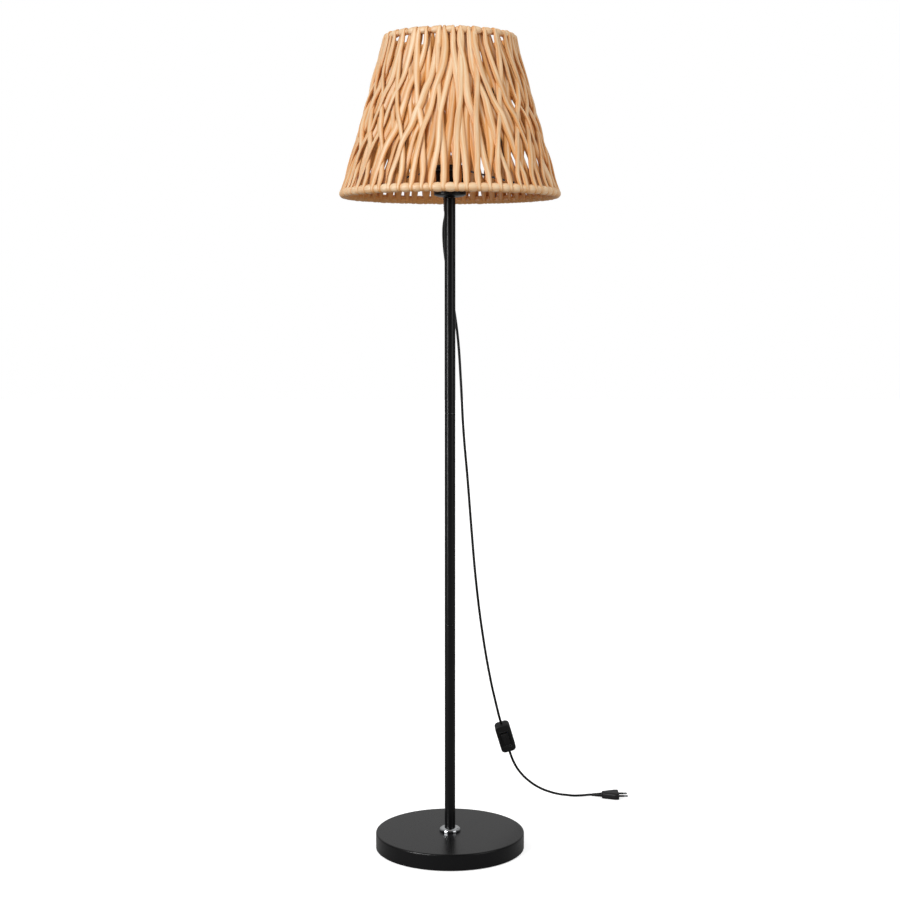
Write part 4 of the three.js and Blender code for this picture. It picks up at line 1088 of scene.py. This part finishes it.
class LAMP_OT_shade(bpy.types.Operator):
    """Winds the shade: one long strand round both rims, crossing itself, and the two padded rims."""

    bl_idname = "lamp.shade"
    bl_label = "Wound shade"

    def execute(self, context):
        sizes = context.scene.lamp_sizes
        rings = ring_radii()
        rng = np.random.default_rng(WEAVE_SEED)
        share, turn, lean_share, foot = strand_stations()
        outside = turn > -90
        free = np.sin(math.pi * share) ** 0.5
        self.rows, self.steps = sizes.strand_feet, len(share)

        feet, heads = (self.feet(rng, pairing) for pairing in (FOOT_PAIRING, HEAD_PAIRING))
        ways = np.where(np.arange(self.rows) % 2, -1, 1)
        swing, met = self.swings(rng, sizes.strand_lean * ways, feet, heads, lean_share, outside, free)
        lift, along = self.lifts(rng, ways, share, turn, outside, free, swing, met)
        sway = free * smooth_noise(rng, self.rows, self.steps, 6, SWAY_NOISE)
        swing = swing + foot * FOOT_TURN * (1 - share) + sway / np.interp(share, [0, 1], rings)
        angle = feet[:, None] + swing
        centre = on_cone(rings, angle, share, lift, along)

        side, facing, normal = self.axes(rng, rings, angle, centre, turn * DEGREE, free)
        across, through = self.sections(rng, sizes, share, outside, free)
        ring = side[:, :, None] * across[..., None] + facing[:, :, None] * through[..., None]
        tags = self.tags(rng, centre, across, through, np.einsum("ijkl,ijl->ijk", unit(ring), normal), turn)
        add_piece("shade_strands", loft(centre[:, :, None] + ring), "shade", "rattan", ["shade_weave"],
                  PAPER_CREASE, tags)
        self.add_rim("bottom_rim", rings, 0, feet)
        self.add_rim("top_rim", rings, 1, heads)
        return {"FINISHED"}

    def feet(self, rng, pairing):
        """Angles at which the strand crosses a rim: nearly even, every second one moved to its neighbour."""
        count = self.rows
        even = np.linspace(-math.pi, math.pi, count, endpoint=False)
        limits = pairing - PAIRING_SPREAD, pairing + PAIRING_SPREAD
        closer = np.where(np.arange(count) % 2, -1, 1) * rng.uniform(*limits, count)
        return even + (rng.normal(0, FOOT_SPREAD, count) + closer) * (2 * math.pi / count)

    def by_side(self, rng, limits, outside):
        """A random value between two limits for each row's run outside, and one for its run inside."""
        size = self.rows, 1
        return np.where(outside, rng.uniform(*limits, size), rng.uniform(*limits, size))

    def swings(self, rng, lean, feet, heads, lean_share, outside, free):
        """Angle that each run has gained from its foot, and how many crossings it has met on the way.

        The lean is less near the front. It is eased with a sine wave at both ends of a run, and with one for
        each crossing, so that strands bend where they meet. Crossings are a whole turn over the rows apart.
        """
        away = (feet - CALM_ANGLE + math.pi) % (2 * math.pi) - math.pi
        lean = lean * (1 - CALM_SHARE * np.exp(-0.5 * (away / CALM_WIDTH) ** 2))
        full = [
            self.reach(feet, heads, sign * lean * rng.normal(1, LEAN_SPREAD, self.rows))[:, None]
            for sign in (1, -1)
        ]
        ease = self.by_side(rng, LEAN_EASES, outside)
        leaning = np.clip((np.abs(lean_share) - STRAIGHT_SHARE) / (1 - 2 * STRAIGHT_SHARE), 0, 1)
        swing = np.where(outside, *full) * (leaning - ease * np.sin(2 * math.pi * leaning) / (2 * math.pi))
        crossing = 2 * math.pi / self.rows
        met = np.abs(swing) / crossing
        slowdown = self.by_side(rng, MEETING_SLOWDOWN, outside) * free ** 2
        bend = crossing * slowdown * np.sin(2 * math.pi * met) / (2 * math.pi)
        return swing + np.sign(swing) * bend, met

    def reach(self, feet, heads, lean):
        """Angle from each foot to the top of its run: the lean, drawn part of the way to the nearest head."""
        apart = heads[None, :] - (feet + lean)[:, None]
        apart = (apart + math.pi) % (2 * math.pi) - math.pi
        nearest = apart[np.arange(self.rows), np.abs(apart).argmin(axis=1)]
        return lean + GATHER * nearest

    def lifts(self, rng, ways, share, turn, outside, free, swing, met):
        """Distances of the strand's middle off the cone and along it.

        At a rim it goes round the ring: the radius times the cosine and the sine of the turn. Between the
        rims it goes over one crossing and under the next, by a sine wave. A power of six holds that up close
        to the rims, and one of four keeps the step between neighbours to the top.
        """
        middle, wave = np.where(outside, np.array(OUTER_LIFTS)[:, None], np.array(INNER_LIFTS)[:, None])
        woven = middle + wave * np.sign(swing) * np.sin(math.pi * met)
        on_run = (turn == 0) | (turn == -180)
        wrap = np.interp(share, [0, 1], WRAP_RADII) + HEAD_STEP * ways[:, None] * share ** 4
        lift, along = wrap * np.cos(turn * DEGREE), wrap * np.sin(turn * DEGREE)
        lift = lift + on_run * (1 - np.abs(2 * share - 1) ** 6) * (woven - lift)
        return lift + free * smooth_noise(rng, self.rows, self.steps, 7, LIFT_NOISE), along

    def axes(self, rng, rings, angle, centre, turn, free):
        """The strand's axes across it and out of its flat face, and the cone's outward direction there."""
        slope = slope_of(rings)
        normal = round_axis(math.cos(slope), angle, math.sin(slope))
        upward = round_axis(-math.sin(slope), angle, math.cos(slope))
        ahead = unit(np.gradient(centre, axis=1))
        side = unit(np.cross(ahead, normal * np.cos(turn)[:, None] + upward * np.sin(turn)[:, None]))
        facing = np.cross(side, ahead)
        roll = (smooth_noise(rng, self.rows, self.steps, 5, ROLL_NOISE) * free)[..., None]
        return (side * np.cos(roll) + facing * np.sin(roll), facing * np.cos(roll) - side * np.sin(roll),
                normal)

    def sections(self, rng, sizes, share, outside, free):
        """Distances across and through the strand of the points round its section, at each station.

        They are half its width by a power of the cosine and half its thickness by one of the sine, which
        makes the section a little squarer than an ellipse.
        """
        around = np.linspace(0, 2 * math.pi, STRAND_SIDES, endpoint=False)
        near_rim = np.clip(1 - np.minimum(share, 1 - share) / SQUEEZE_SHARE, 0, 1)
        narrow = (NARROWING[0] + NARROWING[1] * share) * (1 - free) + SQUEEZE_DEPTH * near_rim ** 1.5
        width = sizes.strand_width * (1 - narrow)
        width = width * (1 + smooth_noise(rng, self.rows, self.steps, 10, WIDTH_NOISE))
        width = width * rng.normal(1, WIDTH_SPREAD, (self.rows, 1)) * np.where(outside, 1, INNER_WIDENING)
        thick = sizes.strand_thickness * (1 - THINNING * (1 - free))
        thick = thick * (1 + smooth_noise(rng, self.rows, self.steps, 12, THICKNESS_NOISE))
        return (width[..., None] / 2 * signed_power(np.cos(around), 0.9),
                thick[..., None] / 2 * signed_power(np.sin(around), 0.8))

    def tags(self, rng, centre, across, through, outward, turn):
        """The strand's own coordinates and its tone, for each of its points and for the ends of its turns."""
        gap = np.linalg.norm(np.diff(centre, axis=1), axis=-1)
        length = np.concatenate([np.zeros((self.rows, 1)), np.cumsum(gap, axis=1)], axis=1)
        length = length + rng.uniform(0, 50, (self.rows, 1))
        fibre = np.stack([across, through, np.broadcast_to(length[..., None], across.shape)], -1)
        # Painted light: the inner run, on the bulb's side, is darker as painted shade, and each point is
        # lighter the more it faces outward and darker the more it faces inward, a painted highlight and
        # painted shade; the spread is a random tone for each strand
        behind = 0.5 - 0.5 * np.cos(turn * DEGREE)[None, :, None]
        tone = EDGE_TONE + INNER_LAYER_PAINTED_LIGHT[0] * behind
        tone = tone + (OUTWARD_PAINTED_LIGHT + INNER_LAYER_PAINTED_LIGHT[1] * behind) * outward * np.abs(outward)
        tone = tone + rng.uniform(-TONE_SPREAD, TONE_SPREAD, (self.rows, 1, 1))
        return {
            "fibre": np.concatenate([fibre.reshape(-1, 3), fibre[:, [0, -1]].mean(axis=2).reshape(-1, 3)]),
            "tone": np.concatenate([tone.ravel(), tone[:, [0, -1], 0].ravel()]),
        }

    def add_rim(self, name, rings, share, feet):
        """Adds a padded rim: a ring that swells between the strand's feet and is drawn in at each of them.

        Its section's radius goes from the pinched one to the full one with a power of the sine of the way
        from one foot to the next, and a wide gap holds a fuller lump. A sine of 5.1 radians for each lump
        gives neighbours unlike tones.
        """
        feet = np.sort(feet)
        count = self.rows
        marks = np.concatenate([feet[-1:] - 2 * math.pi, feet, feet[:1] + 2 * math.pi])
        angle = np.linspace(-math.pi, math.pi, count * LUMP_STEPS, endpoint=False)
        way = np.interp((angle - feet[0]) % (2 * math.pi) + feet[0], marks, np.arange(-1, count + 1))
        gaps = np.diff(marks[1:]) * count / (2 * math.pi)
        fixed, by_gap, most = LUMP_LIMITS
        swell = np.abs(np.sin(math.pi * way)) ** RIM_FULLNESS
        swell = swell * np.minimum(most, fixed + by_gap * gaps[np.floor(way).astype(int) % count])
        radius = RIM_LUMP_RADII[share] * (RIM_PINCH + (1 - RIM_PINCH) * swell)
        around = np.linspace(0, 2 * math.pi, RIM_SIDES, endpoint=False)
        lift = radius[:, None] * np.cos(around)
        along = radius[:, None] * np.sin(around)
        ring = on_cone(rings, angle[:, None] + 0 * lift, share, lift, along)
        length = np.broadcast_to((angle * rings[share])[:, None], lift.shape)
        tone = RIM_TONE + RIM_TONE_SPREAD * np.sin(5.1 * np.floor(way))[:, None]
        # Painted light: the rim's outer side is lighter and its inner side darker, and each lump is lighter
        # where it swells and darker in the pinch at a foot, standing for highlight and shade
        tone = tone + RIM_OUTWARD_PAINTED_LIGHT * np.cos(around) + RIM_SWELL_PAINTED_LIGHT * swell[:, None]
        tags = {"fibre": np.stack([lift, along, length], -1).reshape(-1, 3), "tone": tone.ravel()}
        add_piece(name, loft(ring[None], True), "shade", "rattan", crease=PAPER_CREASE, tags=tags)


# Switch and plug


def on_switch(skin):
    """A skin carried from the switch's own frame to its place between the two cords.

    The frame's axes run along the cord, across it and out of the switch's face, toward the front.
    """
    above, below = np.array(UPPER_ROUTE[-1]), np.array(LOWER_ROUTE[0])
    along = unit(below - above)
    front = np.array([0, -1, 0])
    facing = unit(front - along * (front @ along))
    points, quads, fans = skin
    return points @ np.array([along, np.cross(facing, along), facing]) + (above + below) / 2, quads, fans


def at_screws(profile, sides):
    """A body of revolution at each of the switch's two screws."""
    x, y = SWITCH_SCREW
    return on_switch(join([revolve(profile, sides, False, (side * x, side * y)) for side in (1, -1)]))


class LAMP_OT_switch(bpy.types.Operator):
    """Makes the switch: two half shells, a dished rocker and two screws."""

    bl_idname = "lamp.switch"
    bl_label = "Switch"

    def execute(self, context):
        whole = SWITCH_LENGTH, SWITCH_WIDTH, SWITCH_CORNER
        pocket = inset(whole, SWITCH_WALL)
        face, roof, seam, lip = SWITCH_FACE, SWITCH_FACE - SWITCH_WALL, SWITCH_SEAM, BORDER_LIP
        front = [
            (*whole, seam),
            *edge_rings(whole, SWITCH_BEVEL, face, 1),
            (*BORDER, face),
            (*inset(BORDER, lip), face - BORDER_GROOVE),
            (*inset(BORDER, 2.5 * lip), face - BORDER_GROOVE),
            (*inset(BORDER, 3.5 * lip), face),
            (*inset(WINDOW, -lip), face),
            (*WINDOW, face - lip),
            (*WINDOW, roof),
            (*pocket, roof),
            (*pocket, seam),
        ]
        add_piece("switch_front", on_switch(loft(stacked(front), True)), "lamp_body", "plastic",
                  ["switch_front_shell"], PLASTIC_CREASE)
        back = [
            (*BACK_CORE, -face),
            *edge_rings(whole, SWITCH_BEVEL, -face, -1)[::-1],
            (*whole, -seam),
            (*pocket, -seam),
            (*pocket, -roof),
            (*BACK_CORE, -roof),
        ]
        shell = add_piece("switch_back", on_switch(loft(stacked(back))), "lamp_body", "plastic",
                          ["switch_back_shell"], PLASTIC_CREASE)
        self.cut_screw_seats(shell)
        self.add_screws()
        self.add_rocker()
        return {"FINISHED"}

    def cut_screw_seats(self, shell):
        """Cuts the two round seats of the screw heads into the back shell, from beyond its face."""
        seat = [(SCREW_SEAT_RADIUS, SCREW_SEAT), (SCREW_SEAT_RADIUS, -12 * MM)]
        points, quads, fans = at_screws(seat, 40)
        mesh = bpy.data.meshes.new("seat_cutter")
        mesh.from_pydata(points.tolist(), [], quads.tolist() + fans.tolist())
        cutter = bpy.data.objects.new("seat_cutter", mesh)
        bpy.context.scene.collection.objects.link(cutter)
        cut = shell.modifiers.new("screw seats", "BOOLEAN")
        cut.object = cutter
        cut.solver = "EXACT"
        bpy.context.view_layer.update()
        done = bpy.data.meshes.new_from_object(shell.evaluated_get(bpy.context.evaluated_depsgraph_get()))
        shell.modifiers.remove(cut)
        shell.data = done
        done.set_sharp_from_angle(angle=PLASTIC_CREASE)
        bpy.data.objects.remove(cutter)

    def add_screws(self):
        """Adds the two screws: a domed head and a plain shank, which fans close round their axis."""
        axis = 0.25 * MM
        dome = np.linspace(0, math.pi / 2, 8)
        profile = np.concatenate([
            np.column_stack([axis + (SCREW_HEAD_RADIUS - axis) * np.sin(dome),
                             SCREW_RIM - SCREW_DOME * np.cos(dome)]),
            [(SCREW_HEAD_RADIUS, SCREW_SEAT), (SCREW_SHANK_RADIUS, SCREW_SEAT),
             (SCREW_SHANK_RADIUS, SCREW_TIP), (0.2 * MM, SCREW_TIP)],
        ])
        add_piece("switch_screws", at_screws(profile, 32), "lamp_body", "zinc",
                  ["switch_screw_1", "switch_screw_2"])

    def add_rocker(self):
        """Adds the rocker. Its top dips by the dish times one minus the squared share of its half length."""
        crest = ROCKER_PIN_DEPTH + ROCKER_PROUD
        quarter = np.linspace(0, math.pi / 2, 6)
        insets = np.concatenate([ROCKER_EDGE * (1 - np.cos(quarter)), [3 * MM, 6 * MM, 8 * MM]])
        drops = np.concatenate([ROCKER_EDGE * (1 - np.sin(quarter)), [0, 0, 0]])
        foot = rounded_rectangle(ROCKER_LENGTH, ROCKER_WIDTH, ROCKER_CORNER)
        rings = [np.column_stack([foot, np.full(len(foot), crest - ROCKER_DEPTH)])]
        for distance, drop in zip(insets, drops):
            length, width, corner = inset((ROCKER_LENGTH, ROCKER_WIDTH, ROCKER_CORNER), distance)
            outline = rounded_rectangle(length, width, max(corner, 0.3 * MM))
            share = outline[:, 0] / (ROCKER_LENGTH / 2)
            rings.append(np.column_stack([outline, crest - ROCKER_DISH * (1 - share ** 2) - drop]))
        points, quads, fans = loft(np.array(rings)[None])
        sine, cosine = math.sin(ROCKER_TILT), math.cos(ROCKER_TILT)
        tilt = np.array([[cosine, 0, -sine], [0, 1, 0], [sine, 0, cosine]])
        pin = np.array([0, 0, SWITCH_FACE - ROCKER_PIN_DEPTH])
        add_piece("rocker", on_switch((points @ tilt + pin, quads, fans)), "rocker", "plastic",
                  ["switch_rocker"], PLASTIC_CREASE)


class LAMP_OT_plug(bpy.types.Operator):
    """Makes the plug at the cord's end: a flat moulded body with a ribbed relief, and two round pins."""

    bl_idname = "lamp.plug"
    bl_label = "Plug"

    def execute(self, context):
        low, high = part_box("plug_body")
        thick, face_width = high.z - low.z, high.y - low.y
        start_x, shoulder_x, face_x = low.x + PLUG_RELIEF, high.x - PLUG_SHOULDER, high.x
        share = np.linspace(0, 1, 61)
        ribbed = np.interp(share, [0, 1], PLUG_RELIEF_RADII) - ribs_along(share, PLUG_RIBS, PLUG_RIB_DEPTH)
        sections = [(low.x + PLUG_RELIEF * s, 2 * r, 2 * r, r * 0.99) for s, r in zip(share, ribbed)]
        body_x = np.linspace(start_x + 0.3 * MM, shoulder_x, 12)
        body_width = np.interp(body_x, [start_x, shoulder_x], [PLUG_TAIL_WIDTH, face_width])
        sections += [(body_x[0], 0.8 * PLUG_TAIL_WIDTH, 0.8 * thick, 4 * MM)]
        sections += [(x + 0.8 * MM, width, thick, PLUG_CORNER) for x, width in zip(body_x, body_width)]
        sections += [(face_x - 1.2 * MM, face_width, thick, PLUG_CORNER),
                     (face_x - 0.4 * MM, face_width - 0.9 * MM, thick - 0.9 * MM, 4.1 * MM),
                     (face_x, face_width - 2.4 * MM, thick - 2.4 * MM, 3.3 * MM)]
        rings = []
        for x, width, height, corner in sections:
            outline = rounded_rectangle(width, height, corner)
            rings.append(np.column_stack([np.full(len(outline), x), outline]))
        rings = np.array(rings) + (0, (low.y + high.y) / 2, PLUG_HEIGHT)
        add_piece("plug", loft(rings[None]), "lamp_body", "plastic", ["plug_body"], PLASTIC_CREASE)
        self.add_pins()
        return {"FINISHED"}

    def add_pins(self):
        """Adds the two pins, rounded over at their tips, and the sleeves on the pins' first part."""
        radius, axis = PLUG_PIN_RADIUS, 0.3 * MM
        pins, sleeves = [], []
        for node in ("plug_pin_left", "plug_pin_right"):
            low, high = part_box(node)
            start, middle = low.x, (low.y + high.y) / 2
            tip = np.linspace(0, math.pi / 2, 6)
            x = np.concatenate([[start, start + 1 * MM], high.x - radius + radius * np.sin(tip)])
            taper = np.concatenate([[radius, radius], axis + (radius - axis) * np.cos(tip)])
            pins.append(tube(self.pin_line(x, middle), taper, 24))
            x = start + np.array([-0.2 * MM, 0, PLUG_PIN_SLEEVE, PLUG_PIN_SLEEVE + 0.05 * MM])
            sleeves.append(tube(self.pin_line(x, middle), [1.9 * MM, 2.05 * MM, 2.05 * MM, 2 * MM], 24))
        add_piece("plug_pins", join(pins), "lamp_body", "chrome", ["plug_pin_left", "plug_pin_right"])
        add_piece("pin_sleeves", join(sleeves), "lamp_body", "plastic")

    def pin_line(self, x, y):
        """Points along a pin's axis."""
        return np.column_stack([x, np.full(len(x), y), np.full(len(x), PLUG_HEIGHT)])


class LAMP_OT_hidden_parts(bpy.types.Operator):
    """Gives every CAD part that is still shown the finish of its material."""

    bl_idname = "lamp.hidden_parts"
    bl_label = "Inner parts"

    def execute(self, context):
        kinds = {slot: kind for kind, slot in SLOTS.items()}
        for part in frame["record"]["subparts"]:
            node, slot = part["node"], part["material_slot"]
            kind = kinds.get(slot) or ("brown_core" if node == "lead_live" else "blue_core")
            mesh = frame["nodes"][node].data
            mesh.materials.clear()
            mesh.materials.append(finish_of(kind))
        return {"FINISHED"}


class LAMP_PT_panel(bpy.types.Panel):
    """Lists the sizes, the colours and the steps that build the lamp."""

    bl_label = "Rattan floor lamp"
    bl_idname = "LAMP_PT_panel"
    bl_space_type = "VIEW_3D"
    bl_region_type = "UI"
    bl_category = "Lamp"

    def draw(self, context):
        for group in (context.scene.lamp_sizes, context.scene.lamp_colours):
            for name in group.__annotations__:
                self.layout.prop(group, name)
        for step in STEPS:
            self.layout.operator(step.bl_idname)


# In the order in which they run
STEPS = (
    LAMP_OT_stage, LAMP_OT_cords, LAMP_OT_hidden_parts, LAMP_OT_base, LAMP_OT_pole, LAMP_OT_holder,
    LAMP_OT_shade_frame, LAMP_OT_shade, LAMP_OT_switch, LAMP_OT_plug, LAMP_OT_declare_cords,
)
CLASSES = (LampSizes, LampColours, *STEPS, LAMP_PT_panel)


def register():
    for item in CLASSES:
        bpy.utils.register_class(item)
    bpy.types.Scene.lamp_sizes = bpy.props.PointerProperty(type=LampSizes)
    bpy.types.Scene.lamp_colours = bpy.props.PointerProperty(type=LampColours)


def unregister():
    del bpy.types.Scene.lamp_colours
    del bpy.types.Scene.lamp_sizes
    for item in reversed(CLASSES):
        bpy.utils.unregister_class(item)


def main():
    register()
    bpy.ops.lamp.stage()
    bpy.ops.lamp.cords()
    bpy.ops.lamp.hidden_parts()
    bpy.ops.lamp.base()
    bpy.ops.lamp.pole()
    bpy.ops.lamp.holder()
    bpy.ops.lamp.shade_frame()
    bpy.ops.lamp.shade()
    bpy.ops.lamp.switch()
    bpy.ops.lamp.plug()
    bpy.ops.lamp.declare_cords()


if __name__ == "__main__":
    main()
